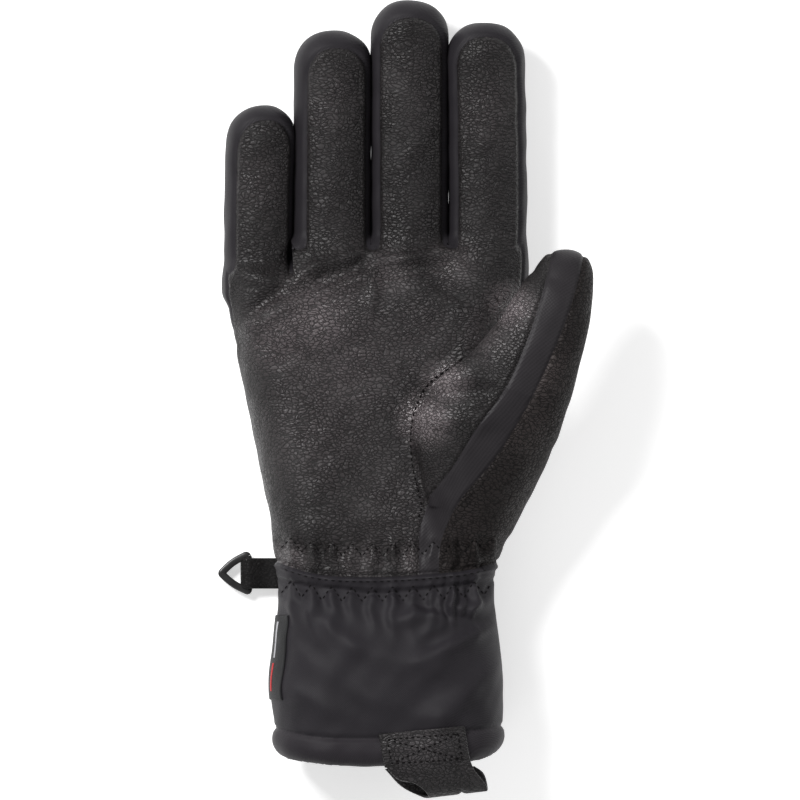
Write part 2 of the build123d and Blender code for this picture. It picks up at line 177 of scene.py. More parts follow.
WRIST_PIVOT_Y, WRIST_REACH = -79.0, 11.0
WRIST_BLEND = (0, WRIST_PIVOT_Y + WRIST_REACH, 25), (0, WRIST_PIVOT_Y - WRIST_REACH, 25)
CUFF_SIDE_Z = 24.0  # where the front and the back of the cuff meet
HAND_END_Y = -64.0  # the panels of the hand have no seams below this
FOLD_REACH = 12.0


# ---- Small mathematics ----


def smooth_curve(points):
    """A smooth function through (position, value) points, held flat past its ends."""
    at, values = np.array(sorted(points), float).T
    slopes = np.gradient(values, at)

    def value(x):
        x = np.clip(x, at[0], at[-1])
        i = np.clip(np.searchsorted(at, x) - 1, 0, len(at) - 2)
        step = at[i + 1] - at[i]
        t = (x - at[i]) / step
        return (
            (2 * t**3 - 3 * t**2 + 1) * values[i]
            + (t**3 - 2 * t**2 + t) * step * slopes[i]
            + (3 * t**2 - 2 * t**3) * values[i + 1]
            + (t**3 - t**2) * step * slopes[i + 1]
        )

    return value


def columns(table):
    """One smooth curve for each column of a table whose first column is the position."""
    return [smooth_curve([(row[0], row[n]) for row in table]) for n in range(1, len(table[0]))]


def soft_min(a, b, reach):
    """The smaller of two distances, blended where they are within reach of each other."""
    near = np.maximum(reach - np.abs(a - b), 0) / reach
    return np.minimum(a, b) - near**2 * reach / 4


def soft_max(a, b, reach):
    return -soft_min(-a, -b, reach)


def ramp(value, start, end):
    """0 before start, 1 after end, smooth between."""
    t = np.clip((value - start) / (end - start), 0, 1)
    return t * t * (3 - 2 * t)


def bump(distance, width):
    return np.exp(-((distance / width) ** 2))


body_left, body_right, body_bottom, body_top = columns(BODY)
thumb_left, thumb_right, thumb_z, thumb_half = columns(THUMB)
core_width, core_depth = columns(THUMB_CORE)
gusset_x, strip_left_x, strip_right_x = (smooth_curve(s) for s in (GUSSET, STRIP_LEFT, STRIP_RIGHT))
side_share = smooth_curve(SIDE_SEAM)
wrist_seam_y, hem_seam_y, band_y, hem_edge_y = (
    smooth_curve(s) for s in (WRIST_SEAM, HEM_SEAM, BAND_EDGE, HEM_EDGE)
)


# ---- The glove's outer surface, as distances: negative inside ----


def body_distance(x, y, z, inset=0.0):
    left, right, bottom, top = (edge(y) for edge in (body_left, body_right, body_bottom, body_top))
    half_x, half_z = (right - left) / 2 - inset, (top - bottom) / 2 - inset
    corner = half_z * CORNER_SHARE
    out_x = np.abs(x - (left + right) / 2) - (half_x - corner)
    out_z = np.abs(z - (top + bottom) / 2) - (half_z - corner)
    outside = np.hypot(np.maximum(out_x, 0), np.maximum(out_z, 0))
    return outside + np.minimum(np.maximum(out_x, out_z), 0) - corner


def finger_middle(name, y):
    """x and z of a finger's centre line."""
    x, _, tip, _, _, lean = FINGERS[name]
    run = np.clip((y - FINGER_START) / (tip - FINGER_START), 0, 1)
    return x + lean * run**3, FINGER_ROOT_Z + (FINGER_TIP_Z - FINGER_ROOT_Z) * run**2


def finger_distance(name, x, y, z):
    _, half, tip, _, _, _ = FINGERS[name]
    middle_x, middle_z = finger_middle(name, y)
    across, up = x - middle_x, z - middle_z
    section = (np.abs(across / half) ** 2.2 + np.abs(up / FINGER_HALF_DEPTH) ** 2.2) ** (1 / 2.2)
    past = np.maximum(y - (tip - TIP_ROUND), 0)
    size = (section**TIP_POWER + (past / TIP_ROUND) ** TIP_POWER) ** (1 / TIP_POWER)
    size = np.maximum(size, 0.05)
    return np.sqrt(across**2 + up**2 + past**2 + 0.01) * (1 - 1 / size)


def thumb_distance(x, y, z):
    left, right = thumb_left(y), thumb_right(y)
    across, up = x - (left + right) / 2, z - thumb_z(y)
    wide, deep = np.abs(across / ((right - left) / 2)), np.abs(up / thumb_half(y))
    section = (wide**2.15 + deep**2.15) ** (1 / 2.15)
    past = np.maximum(y - (THUMB_TIP_Y - THUMB_ROUND), 0)
    size = (section**2.5 + (past / THUMB_ROUND) ** 2.5) ** (1 / 2.5)
    size = np.maximum(size, 0.05)
    distance = np.sqrt(across**2 + up**2 + past**2 + 0.01) * (1 - 1 / size)
    distance = soft_min(distance, thumb_core_distance(x, y, z), 2.0)
    return soft_max(distance, -64.0 - y, 8.0)


def thumb_axes(x, y):
    """Distances along the thumb from its root, and across it."""
    x, y = x - THUMB_ROOT[0], y - THUMB_ROOT[1]
    sin, cos = math.sin(THUMB_LEAN), math.cos(THUMB_LEAN)
    return x * sin + y * cos, x * cos - y * sin


def thumb_core_distance(x, y, z):
    """The padded thumb itself, an oval round its own leaning line."""
    along, across = thumb_axes(x, y)
    up = z - 47.0 + 5.0 * np.maximum(along, 0) / 54.0 + 0.545 * np.clip(-3.0 - along, 0, 16)
    size = np.hypot(across / core_width(along), up / core_depth(along))
    distance = np.sqrt(across**2 + up**2 + 0.01) * (1 - 1 / np.maximum(size, 0.05))
    return soft_max(soft_max(distance, along - 40.0, 4.0), -19.0 - along, 7.0)


def web_y(x):
    """Where the crotch of the fingers beside x is."""
    return np.where(x < WEB_X, WEB_LITTLE, WEB_LONG)


def hand_distance(x, y, z):
    """Body and fingers, without the thumb."""
    hand = soft_max(body_distance(x, y, z), y - web_y(x) - CROTCH, 7.0)
    fingers = [soft_max(finger_distance(name, x, y, z), FINGER_START - y, 4.0) for name in FINGERS]
    return soft_min(hand, np.minimum.reduce(fingers), 4.5)


def skin_distance(x, y, z):
    glove = soft_min(hand_distance(x, y, z), thumb_distance(x, y, z), 2.5)
    glove = soft_max(glove, (hem_edge_y(x) - y) * 0.85, 5.0)
    mouth = soft_max(body_distance(x, y, z, LINING), y - (HEM_END + MOUTH_DEPTH), 1.0)
    return soft_max(glove, -mouth, 4.0)


# ---- A mesh of that surface ----


def grid_mesh(low, high, cell):
    """Vertices and quads where skin_distance changes sign, one vertex in each grid cell."""
    axes = [np.arange(a, b + cell, cell) for a, b in zip(low, high)]
    x, y, z = np.meshgrid(*axes, indexing="ij", sparse=True)
    field = skin_distance(x, y, z)
    inside = field < 0
    shape = np.array(field.shape) - 1

    def corner(array, offset):
        return array[tuple(slice(o, o + n) for o, n in zip(offset, shape))]

    corners = [(i, j, k) for i in (0, 1) for j in (0, 1) for k in (0, 1)]
    count = sum(corner(inside, c).astype(np.int8) for c in corners)
    cells = np.argwhere((count > 0) & (count < 8))
    number = -np.ones(shape, np.int64)
    number[tuple(cells.T)] = np.arange(len(cells))
    total, hits = np.zeros((len(cells), 3)), np.zeros(len(cells))
    for a in corners:
        for axis in range(3):
            if a[axis]:
                continue
            b = tuple(v + (n == axis) for n, v in enumerate(a))
            fa, fb = (field[tuple((cells + c).T)] for c in (a, b))
            crossing = (fa < 0) != (fb < 0)
            t = np.where(crossing, fa / np.where(crossing, fa - fb, 1), 0)
            point = cells + np.array(a) + t[:, None] * (np.arange(3) == axis)
            total += point * crossing[:, None]
            hits += crossing
    points = np.array(low) + cell * total / hits[:, None]

    quads = []
    for axis in range(3):
        u, v = (axis + 1) % 3, (axis + 2) % 3
        step = np.zeros(3, int)
        step[axis] = 1
        slices = [slice(1, -1)] * 3
        slices[axis] = slice(0, -1)
        here = inside[tuple(slices)]
        slices[axis] = slice(1, None)
        there = inside[tuple(slices)]
        for leaving in (True, False):
            edges = np.argwhere((here != there) & (here == leaving))
            start = edges + 1
            start[:, axis] = edges[:, axis]
            ring = []
            for du, dv in ((-1, -1), (0, -1), (0, 0), (-1, 0)):
                at = start.copy()
                at[:, u] += du
                at[:, v] += dv
                ring.append(number[tuple(at.T)])
            ring = np.stack(ring if leaving else ring[::-1], axis=1)
            quads.append(ring)
    return points, np.concatenate(quads)


def gradient(field, points, step=0.05):
    """Slope of a scalar field at each point."""
    slope = np.empty_like(points)
    for axis in range(3):
        shift = np.zeros(3)
        shift[axis] = step
        slope[:, axis] = (field(*(points + shift).T) - field(*(points - shift).T)) / (2 * step)
    return slope


def onto_surface(points, rounds=2):
    """Points moved onto the surface, along its slope."""
    for _ in range(rounds):
        slope = gradient(skin_distance, points)
        size = np.maximum((slope**2).sum(1), 0.05)
        shift = skin_distance(*points.T) / size
        points = points - np.clip(shift, -1.5, 1.5)[:, None] * slope
    return points


def relaxed(points, quads, rounds):
    """Points evened out over the surface."""
    a = np.concatenate([quads[:, n] for n in range(4)])
    b = np.concatenate([quads[:, (n + 1) % 4] for n in range(4)])
    degree = np.bincount(np.concatenate([a, b]), minlength=len(points))[:, None]
    for _ in range(rounds):
        mean = np.zeros_like(points)
        for axis in range(3):
            mean[:, axis] = np.bincount(a, points[b, axis], len(points))
            mean[:, axis] += np.bincount(b, points[a, axis], len(points))
        points = onto_surface(points * 0.4 + 0.6 * mean / degree, 1)
    return points


def vertex_normals(points, triangles):
    corner = points[triangles]
    flat = np.cross(corner[:, 1] - corner[:, 0], corner[:, 2] - corner[:, 0])
    normals = np.zeros_like(points)
    for n in range(3):
        for axis in range(3):
            normals[:, axis] += np.bincount(triangles[:, n], flat[:, axis], len(points))
    return normals / np.maximum(np.linalg.norm(normals, axis=1), 1e-9)[:, None]


class Skin:
    """The glove's skin as triangles, each with a label that grows as cuts are made."""

    def __init__(self):
        low, high = (-66.0, HEM_END - 3, -3.0), (82.0, 154.0, 64.0)
        points, quads = grid_mesh(low, high, CELL)
        self.points = onto_surface(relaxed(points, quads, 3), 2)
        self.triangles = np.concatenate([quads[:, [0, 1, 2]], quads[:, [0, 2, 3]]])
        self.sides = {}

    def cut(self, name, field, where=None):
        """Cuts the skin where a field changes sign. sides[name] is True on triangles past the cut."""
        chosen = np.ones(len(self.triangles), bool) if where is None else where
        value = field(*self.points.T)
        used = np.zeros(len(self.points), bool)
        used[self.triangles[chosen]] = True
        near = used & (np.abs(value) < 0.3 * CELL)
        slope = gradient(field, self.points[near])
        size = np.maximum((slope**2).sum(1), 0.2)
        self.points[near] -= (value[near] / size)[:, None] * slope
        value[near] = 0.0
        past = value[self.triangles] >= 0
        count = past.sum(1)
        split = chosen & (count > 0) & (count < 3)
        lone_past = count == 1
        keep = ~split
        tri = self.triangles[split]
        lone = np.where(lone_past[split, None], past[split], ~past[split]).argmax(1)
        rows = np.arange(len(tri))
        a, b, c = tri[rows, lone], tri[rows, (lone + 1) % 3], tri[rows, (lone + 2) % 3]
        ab, ac = self._crossings(a, b, c, value)
        new = np.concatenate([np.stack(t, 1) for t in ((a, ab, ac), (ab, b, c), (ab, c, ac))])
        new_past = np.concatenate([lone_past[split], ~lone_past[split], ~lone_past[split]])
        parents = np.concatenate([np.flatnonzero(split)] * 3)
        solid = (new[:, 0] != new[:, 1]) & (new[:, 1] != new[:, 2]) & (new[:, 0] != new[:, 2])
        new, new_past, parents = new[solid], new_past[solid], parents[solid]
        for old in self.sides:
            self.sides[old] = np.concatenate([self.sides[old][keep], self.sides[old][parents]])
        majority = (value[self.triangles[keep]].sum(1) >= 0) & chosen[keep]
        self.triangles = np.concatenate([self.triangles[keep], new])
        self.sides[name] = np.concatenate([majority, new_past])

    def _crossings(self, a, b, c, value):
        """Vertices where the edges a-b and a-c cross the cut, made where they don't exist."""
        pairs = np.concatenate([np.stack([a, b], 1), np.stack([a, c], 1)])
        ends = np.sort(pairs, axis=1)
        unique, index = np.unique(ends, axis=0, return_inverse=True)
        index = index.ravel()
        va, vb = value[unique[:, 0]], value[unique[:, 1]]
        t = np.clip(va / np.where(va == vb, 1, va - vb), 0, 1)
        made = self.points[unique[:, 0]] * (1 - t)[:, None] + self.points[unique[:, 1]] * t[:, None]
        vertex = np.arange(len(unique)) + len(self.points)
        vertex = np.where(t < 1e-6, unique[:, 0], np.where(t > 1 - 1e-6, unique[:, 1], vertex))
        self.points = np.concatenate([self.points, made])
        return vertex[index[: len(a)]], vertex[index[len(a):]]


# ---- Panel edges, as fields that change sign there ----


def thumb_field(x, y, z):
    """Positive on the thumb and its ball."""
    below = ramp(SIDE_SEAM_Z + 3.0 - z, 0.0, 4.0)
    free = ramp(y + 14.0 * below, 8.0, 16.0)
    sewn = np.minimum(x - gusset_x(y), 3.0)
    nearest = hand_distance(x, y, z) - thumb_distance(x, y, z)
    return (1 - free) * sewn + free * nearest


def panel_distance(name, x, y):
    """Plan distance outside the leather face of a finger."""
    _, half, tip, _, _, _ = FINGERS[name]
    left, right, end = PANELS[name]
    across = np.abs(x - finger_middle(name, y)[0] - (left - right) / 2)
    past = np.maximum(y - (tip - end - TIP_ROUND * 0.85), 0)
    width = half - (left + right) / 2
    size = (across / width) ** TIP_POWER + (past / (TIP_ROUND * 0.85)) ** TIP_POWER
    return np.hypot(across, past) * (1 - 1 / np.maximum(size ** (1 / TIP_POWER), 0.05))


def fabric_field(x, y, z):
    """Negative on the leather of the palm and fingers."""
    bottom, top = body_bottom(y), body_top(y)
    up = (z - (bottom + top) / 2) / ((top - bottom) / 2)
    side = (side_share(y) - up) * (top - bottom) / 2
    field = np.maximum(side, y - (web_y(x) - 1.0))
    faces = [np.maximum(panel_distance(name, x, y), finger_middle(name, y)[1] + 1.0 - z) for name in FINGERS]
    return soft_min(field, np.minimum.reduce(faces), 3.0)


def strip_field(x, y, z):
    """Negative on the nose-wipe strip."""
    across = np.maximum(strip_left_x(y) - x, x - strip_right_x(y))
    return np.maximum(across, thumb_z(y) + 1.0 - 8.0 * ramp(y, 44.0, 54.0) - z)


def strip_middle_field(x, y, z):
    return x - (strip_left_x(y) + strip_right_x(y)) / 2


def side_field(x, y, z):
    return SIDE_SEAM_Z - z


def wrist_field(x, y, z):
    return y - wrist_seam_y(x)


def hem_field(x, y, z):
    return y - hem_seam_y(x)


def lining_field(x, y, z):
    return -body_distance(x, y, z, LINING / 2)


def web_field(x, y, z):
    return y - web_y(x)


def finger_of(x):
    """Number of the finger at x, in the order of FINGERS."""
    return np.select([x > 23.9, x > -5.3, x > WEB_X], [0, 1, 2], 3)


# Where each finger's skin is divided between its two folds.
MIDDLE_CUTS = np.array([(root + middle) / 2 for _, _, _, root, middle, _ in FINGERS.values()])


def middle_field(x, y, z):
    return y - MIDDLE_CUTS[finger_of(x)]


# ---- Relief: wadding, folds, gathers and seam grooves ----

# Soft swellings of the palm: x, y, radius across, radius along, height.
SWELLINGS = (
    (-47.0, 30.0, 12.0, 15.0, 2.2),
    (-25.0, 28.0, 17.0, 12.0, 1.5),
    (8.0, 34.0, 15.0, 12.0, 1.3),
    (36.0, 36.0, 13.0, 16.0, 1.2),
    (-28.0, -24.0, 17.0, 26.0, 2.2),
    (-2.0, 2.0, 20.0, 24.0, -2.2),
    (24.0, -14.0, 7.0, 18.0, 1.4),
    (32.0, 8.0, 7.0, 9.0, 1.2),
    (-20.0, -48.0, 16.0, 6.0, 1.0),
)
# Folds: x and y of each end, half width, height.
FOLDS = (
    (-54.0, 47.0, -36.0, 43.0, 2.8, 1.4),
    (-47.0, 35.0, -36.0, 44.5, 2.6, -2.2),
    (-49.0, 27.0, -32.0, 38.0, 3.2, 1.1),
    (-35.0, 45.0, -26.0, 50.0, 2.2, 1.4),
    (-26.0, 50.0, -8.0, 55.0, 2.6, 1.6),
    (-34.0, 40.0, -22.0, 45.0, 2.2, -1.5),
    (-22.0, 45.0, -9.0, 51.0, 2.2, -1.7),
    (-9.0, 51.0, -6.0, 56.0, 2.0, -1.2),
    (-24.0, 40.0, -8.0, 46.0, 2.4, 1.0),
    (-4.0, 52.0, 8.0, 53.0, 2.2, 1.3),
    (8.0, 53.0, 22.0, 56.0, 2.2, 1.3),
    (-2.0, 47.0, 22.0, 50.0, 2.2, -1.4),
    (-5.0, 36.0, -4.0, 46.0, 2.4, 1.0),
    (24.0, 50.0, 46.0, 40.0, 4.0, 0.9),
    (22.0, 42.0, 40.0, 33.0, 3.0, -0.8),
    (-58.0, 24.0, -30.0, 16.0, 4.0, -0.8),
    (20.0, 1.5, 36.0, 3.5, 2.6, -2.0),
    (15.0, -7.0, 33.0, -8.0, 4.0, 1.8),
    (25.0, 8.0, 34.0, 13.0, 3.0, 1.4),
    (17.0, -22.0, 22.0, -36.0, 3.0, 0.8),
    (-30.0, -78.0, -12.0, -92.0, 3.4, 1.1),
    (-40.0, -80.0, -26.0, -94.0, 3.2, -1.2),
    (-12.0, -92.0, 14.0, -100.0, 5.0, 0.9),
    (41.0, -79.0, 18.0, -90.0, 2.6, -1.8),
    (40.0, -84.0, 14.0, -97.0, 3.0, 1.2),
    (34.0, -77.0, 6.0, -82.0, 3.0, 1.5),
    (12.0, -76.0, 30.0, -82.0, 1.8, -1.4),
    (40.0, -92.0, 14.0, -112.0, 5.0, -1.3),
    (42.0, -98.0, 22.0, -118.0, 4.0, 1.2),
    (-36.0, -100.0, -10.0, -118.0, 6.0, -1.0),
    (-32.0, -110.0, -8.0, -120.0, 4.0, 0.9),
    (-6.0, -112.0, 18.0, -118.0, 5.0, 1.0),
)
DEEPEST = 1.1  # no hollow reaches the padding under the skin
# Places where the elastic bunches the cloth most: x, half width.
BUNCH = (26.0, 9.0)


def fold_height(x, y):
    height = np.zeros_like(x)
    for x1, y1, x2, y2, width, size in FOLDS:
        dx, dy = x2 - x1, y2 - y1
        length = math.hypot(dx, dy)
        t = ((x - x1) * dx + (y - y1) * dy) / length
        off = ((x - x1) * dy - (y - y1) * dx) / length
        past = np.maximum(np.maximum(-t, t - length), 0)
        height += size * bump(off, width) * bump(past, width * 1.6)
    return height


def unevenness(x, y, z):
    """A slow, fixed waviness that keeps padded cloth from looking turned on a lathe."""
    waves = (
        np.sin(x * 0.31 + 1.3 * np.sin(y * 0.17)) * np.sin(y * 0.23 + 1.1 * np.sin(z * 0.21))
        + 0.6 * np.sin(x * 0.52 - y * 0.37 + 2.1) * np.sin(z * 0.44 + y * 0.11)
    )
    return 0.16 * waves


def zigzag_y(x, span):
    """Height of a zigzag seam at x. It drifts with the wrist seam's curve."""
    peak, valley = span
    turn = np.abs(((x - ZIGZAG_START) / ZIGZAG_PITCH) % 1.0 - 0.5) * 2
    return peak + (valley - peak) * turn + 0.6 * (wrist_seam_y(x) + 66.0)


def gathers(x, y):
    """Puckers of the two elastics, and of the seam between them."""
    bunched = bump(x - BUNCH[0], BUNCH[1])
    sag = 0.6 * (wrist_seam_y(x) + 66.0)
    uneven = 1.0 + 0.35 * np.sin(x * 0.23 + 1.0) + 0.2 * np.sin(x * 0.71)
    height = np.zeros_like(x)
    for span, strength, tail in ((LEATHER_ZIGZAG, 1.1, 5.0), (FABRIC_ZIGZAG, 0.9, 8.0)):
        middle, half = (span[0] + span[1]) / 2 + sag, (span[0] - span[1]) / 2
        wander = x + 0.9 * np.sin(y * 0.45 + x * 0.2) * ramp(middle - y, 0, 6)
        tuft = np.cos(2 * math.pi * ((wander - ZIGZAG_START) / ZIGZAG_PITCH - 0.5))
        above = bump(np.maximum(y - middle, 0), half + 1.0)
        below = bump(np.maximum(middle - y, 0), half + tail)
        window = np.where(y > middle, above, below)
        height += strength * uneven * window * (tuft + 0.25 * np.abs(tuft))
        height += 1.3 * bunched * window * np.cos(2 * math.pi * wander / (ZIGZAG_PITCH * 0.55))
        height -= 0.55 * bump((y - zigzag_y(x, span)) * 0.6, 0.75)
        height -= 0.5 * bump(y - middle, half)
    return height


def relief(points, normals, hand, thumb):
    """How far each point stands off the plain padded shape, along its normal."""
    x, y, z = points.T
    up = ramp(normals[:, 2], 0.0, 0.6)
    height = unevenness(x, y, z)
    for cx, cy, rx, ry, size in SWELLINGS:
        height += up * size * np.exp(-(((x - cx) / rx) ** 2) - ((y - cy) / ry) ** 2)
    height += up * fold_height(x, y)
    height += gathers(x, y) * (0.35 + 0.65 * up)
    roll = hem_seam_y(x) - y
    height += 1.0 * bump(roll - 5.5, 4.5)

    def groove(distance, depth, width, here=True):
        return -depth * bump(distance, width) * here

    def rim(distance, size, width, here=True):
        return size * bump(distance + width * 1.6, width) * here

    fabric = fabric_field(x, y, z)
    on_hand = hand & (y > HAND_END_Y)
    height += groove(fabric, 0.75, 0.75, on_hand) + rim(fabric, 0.35, 1.0, on_hand)
    strip = strip_field(x, y, z)
    on_strip = thumb & (y > -66.0) & (z > thumb_z(y) - 6.0)
    height += groove(strip, 0.6, 0.7, on_strip) + rim(-strip, 0.22, 1.0, on_strip)
    gusset = x - gusset_x(y)
    on_gusset = (y > -40.0) & (y < 15.0) & (z > 24.0)
    height += groove(gusset, 1.1, 0.9, on_gusset) + rim(-gusset, 0.9, 1.8, on_gusset & thumb)
    side = side_field(x, y, z)
    height += groove(side, 0.6, 0.7, thumb & (y > HAND_END_Y) & (y < 10.0))
    height += groove(y - wrist_seam_y(x) - 0.5, 1.0, 0.7) + rim(y - wrist_seam_y(x), 0.7, 0.8)
    roll = y - band_y(x)
    raised = 0.8 * ramp(roll, 0.0, 1.2) * ramp(wrist_seam_y(x) - y, -0.4, 0.6)
    height += (0.1 + 0.9 * up) * raised + groove(roll, 1.1, 0.9) * (0.3 + 0.7 * up)
    height += groove(y - hem_seam_y(x), 1.0, 0.9)
    inside = body_distance(x, y, z, LINING / 2) < 0
    return np.where(inside & (y < HEM_END + MOUTH_DEPTH), 0.0, soft_max(height, -DEEPEST, 1.0))


def swelled(points, finger):
    """Points with the fingers widened to lie against each other."""
    x, y, _ = points.T
    moved = points.copy()
    for n, (name, (middle, half)) in enumerate(SWELLED.items()):
        start = WEB_LITTLE if name == "little" else WEB_LONG
        plain, plain_half = FINGERS[name][:2]
        # The outer sides of the hand widen more slowly than the sides of the crotches.
        away = {"index": x - plain, "little": plain - x}.get(name, np.full(len(x), -plain_half))
        share = ramp(y, start - 1.5, start + 1.6)
        share += (ramp(y, start - 1.0, start + 14.0) - share) * ramp(away, 0.0, 8.0)
        share = share * (finger & (finger_of(x) == n))
        moved[:, 0] += share * (middle + (x - plain) * half / plain_half - x)
    return moved


# ---- Materials ----


class Nodes:
    """A material's node tree, with short calls for the nodes used here."""

    def __init__(self, name):
        self.material = bpy.data.materials.new(name)
        self.material.use_nodes = True
        self.tree = self.material.node_tree
        self.shader = self.tree.nodes["Principled BSDF"]
        at = self.make("TexCoord").outputs["Object"]
        self.place = self.make("VectorMath", {0: at, "Scale": 1 / MM}, operation="SCALE").outputs[0]

    def make(self, kind, inputs=None, **settings):
        """A new node, with its settings, and its inputs set or linked."""
        node = self.tree.nodes.new("ShaderNode" + kind)
        for setting, value in settings.items():
            setattr(node, setting, value)
        for socket, value in (inputs or {}).items():
            self.fill(node.inputs[socket], value)
        return node

    def fill(self, socket, value):
        if isinstance(value, bpy.types.NodeSocket):
            self.tree.links.new(value, socket)
        else:
            socket.default_value = value

    def mapped(self, at, **inputs):
        return self.make("Mapping", {"Vector": at, **inputs}).outputs[0]

    def noise(self, scale, detail=3.0, roughness=0.55):
        inputs = {"Vector": self.place, "Scale": scale, "Detail": detail, "Roughness": roughness}
        return self.make("TexNoise", inputs).outputs["Fac"]

    def warped(self, at, scale, amount):
        """Coordinates pushed about by noise, so that cells and threads aren't regular."""
        noise = self.make("TexNoise", {"Vector": at, "Scale": scale, "Detail": 2.0}).outputs["Color"]
        push = self.make("VectorMath", {0: noise, 1: (amount,) * 3, 2: at}, operation="MULTIPLY_ADD")
        return push.outputs[0]

    def cells(self, scale, at, feature="DISTANCE_TO_EDGE"):
        """Distance to the edges of irregular cells, or to their middles."""
        return self.make("TexVoronoi", {"Scale": scale, "Vector": at}, feature=feature).outputs["Distance"]

    def near(self, places):
        """How near a point is to the nearest of some places, each x, y, radius and the most it counts."""
        flat, most = self.mapped(self.place, Scale=(1.0, 1.0, 0.0)), 0.0
        for x, y, radius, strength in places:
            away = self.make("VectorMath", {0: flat, 1: (x, y, 0.0)}, operation="DISTANCE").outputs["Value"]
            most = self.maths("MAXIMUM", self.span(away, 0.0, radius, strength, 0.0), most)
        return most

    def wave(self, scale, at, distortion=0.0):
        inputs = {"Vector": at, "Scale": scale, "Distortion": distortion, "Detail": 0.0}
        return self.make("TexWave", inputs).outputs["Fac"]

    def span(self, value, low, high, to_low=0.0, to_high=1.0):
        """Value between low and high, spread over to_low to to_high."""
        inputs = {"Value": value, "From Min": low, "From Max": high, "To Min": to_low, "To Max": to_high}
        return self.make("MapRange", inputs, interpolation_type="SMOOTHSTEP").outputs[0]

    def maths(self, operation, a, b):
        return self.make("Math", {0: a, 1: b}, operation=operation).outputs[0]

    def times(self, a, b):
        return self.maths("MULTIPLY", a, b)

    def plus(self, a, b):
        return self.maths("ADD", a, b)

    def colour(self, factor, low, high):
        inputs = {"Factor": factor, 6: (*low, 1.0), 7: (*high, 1.0)}
        return self.make("Mix", inputs, data_type="RGBA").outputs[2]

    def finish(self, colour, roughness, height=None, depth=0.1, **fixed):
        """Sets the shader. depth is the height of the bump in millimetres."""
        fixed = {"Base_Color": colour, "Roughness": roughness, **fixed}
        if height is not None:
            inputs = {"Height": height, "Distance": depth * MM, "Strength": 1.0}
            fixed["Normal"] = self.make("Bump", inputs).outputs[0]
        for socket, value in fixed.items():
            self.fill(self.shader.inputs[socket.replace("_", " ")], value)
        return self.material


LEATHER_STRETCH = (0.72, 1.2, 1.0)
LEATHER_LIGHT = 0.09  # share of the light colour that leather has outside its painted highlights


def leather(name, dark, light, cell=1.4, depth=0.26, rough=(0.34, 0.55), shine=0.28, painted_highlights=()):
    """Pebbled leather: low grains, wider than tall, with dark creases between. Painted highlights make chosen
    places paler and a little glossier.
    """
    n = Nodes(name)
    at = n.warped(n.warped(n.mapped(n.place, Scale=LEATHER_STRETCH), 0.12, 5.0), 1.0, 0.55)
    creases = n.span(n.cells(1 / cell, at), 0.015, 0.17)
    domes = n.span(n.cells(1 / cell, at, "F1"), 0.10, 0.9, 1.0, 0.0)
    bold = n.span(n.noise(0.07, 3.0), 0.36, 0.6, 0.5, 1.0)
    pores = n.noise(2.6, 4.0, 0.7)
    height = n.plus(n.times(n.plus(creases, n.times(domes, 0.45)), bold), n.times(pores, 0.45))
    broad = n.span(n.noise(0.03, 2.0), 0.3, 0.7, 0.85, 1.15)
    # painted highlight mask: the colour is lifted and the roughness lowered here, standing in for the key
    # light's sheen
    painted_highlight_mask = n.near(painted_highlights)
    lift = n.plus(broad, n.times(painted_highlight_mask, n.span(pores, 0.3, 0.7, 0.6, 1.3)))
    open_crease = n.times(creases, n.span(pores, 0.25, 0.65, 0.55, 1.0))
    shade = n.times(n.span(open_crease, 0.0, 1.0, 0.30, 1.0), lift)
    gloss = n.maths("SUBTRACT", n.span(height, 0.5, 1.6, rough[1], rough[0]), n.times(painted_highlight_mask, 0.06))
    colour = n.colour(n.times(shade, LEATHER_LIGHT), dark, light)
    return n.finish(colour, gloss, height, depth, Specular_IOR_Level=shine)


RIB_TURN, WEFT_TURN = (0.5, 0.3, 0.9), (0.2, 0.6, -0.6)


def softshell(name, dark, light, period=0.62, depth=0.06, shine=0.12, rough=0.5):
    """Tight matte weave with a fine diagonal rib."""
    n = Nodes(name)
    at = n.warped(n.place, 0.5, 0.35)
    rib, weft = (n.wave(0.31 / period, n.mapped(at, Rotation=turn), 0.4) for turn in (RIB_TURN, WEFT_TURN))
    weave = n.plus(n.times(rib, 0.65), n.times(weft, 0.35))
    height = n.plus(weave, n.times(n.noise(1.6, 4.0, 0.7), 0.8))
    shade = n.times(n.span(height, 0.2, 1.5, 0.55, 1.0), n.span(n.noise(0.07), 0.3, 0.7, 0.85, 1.1))
    return n.finish(n.colour(shade, dark, light), rough, height, depth, Specular_IOR_Level=shine)


def plastic(name, tone, rough):
    """Moulded plastic with a faint spark-eroded texture."""
    n = Nodes(name)
    fine = n.noise(3.0, 3.0)
    slow = n.noise(0.2, 2.0)
    return n.finish((*tone, 1.0), n.span(slow, 0.3, 0.7, rough * 0.85, rough * 1.2), fine, 0.012)


def thread(name, tone):
    """Twisted sewing thread."""
    n = Nodes(name)
    twist = n.wave(1.1, n.warped(n.place, 1.0, 0.2))
    return n.finish(n.colour(twist, [c * 0.6 for c in tone], tone), 0.7, twist, 0.03, Specular_IOR_Level=0.1)


def fleece(name, tone):
    """Brushed pile."""
    n = Nodes(name)
    pile = n.noise(1.3, 5.0, 0.75)
    return n.finish(n.colour(pile, [c * 0.4 for c in tone], tone), 0.95, pile, 0.6, Sheen_Weight=0.5)
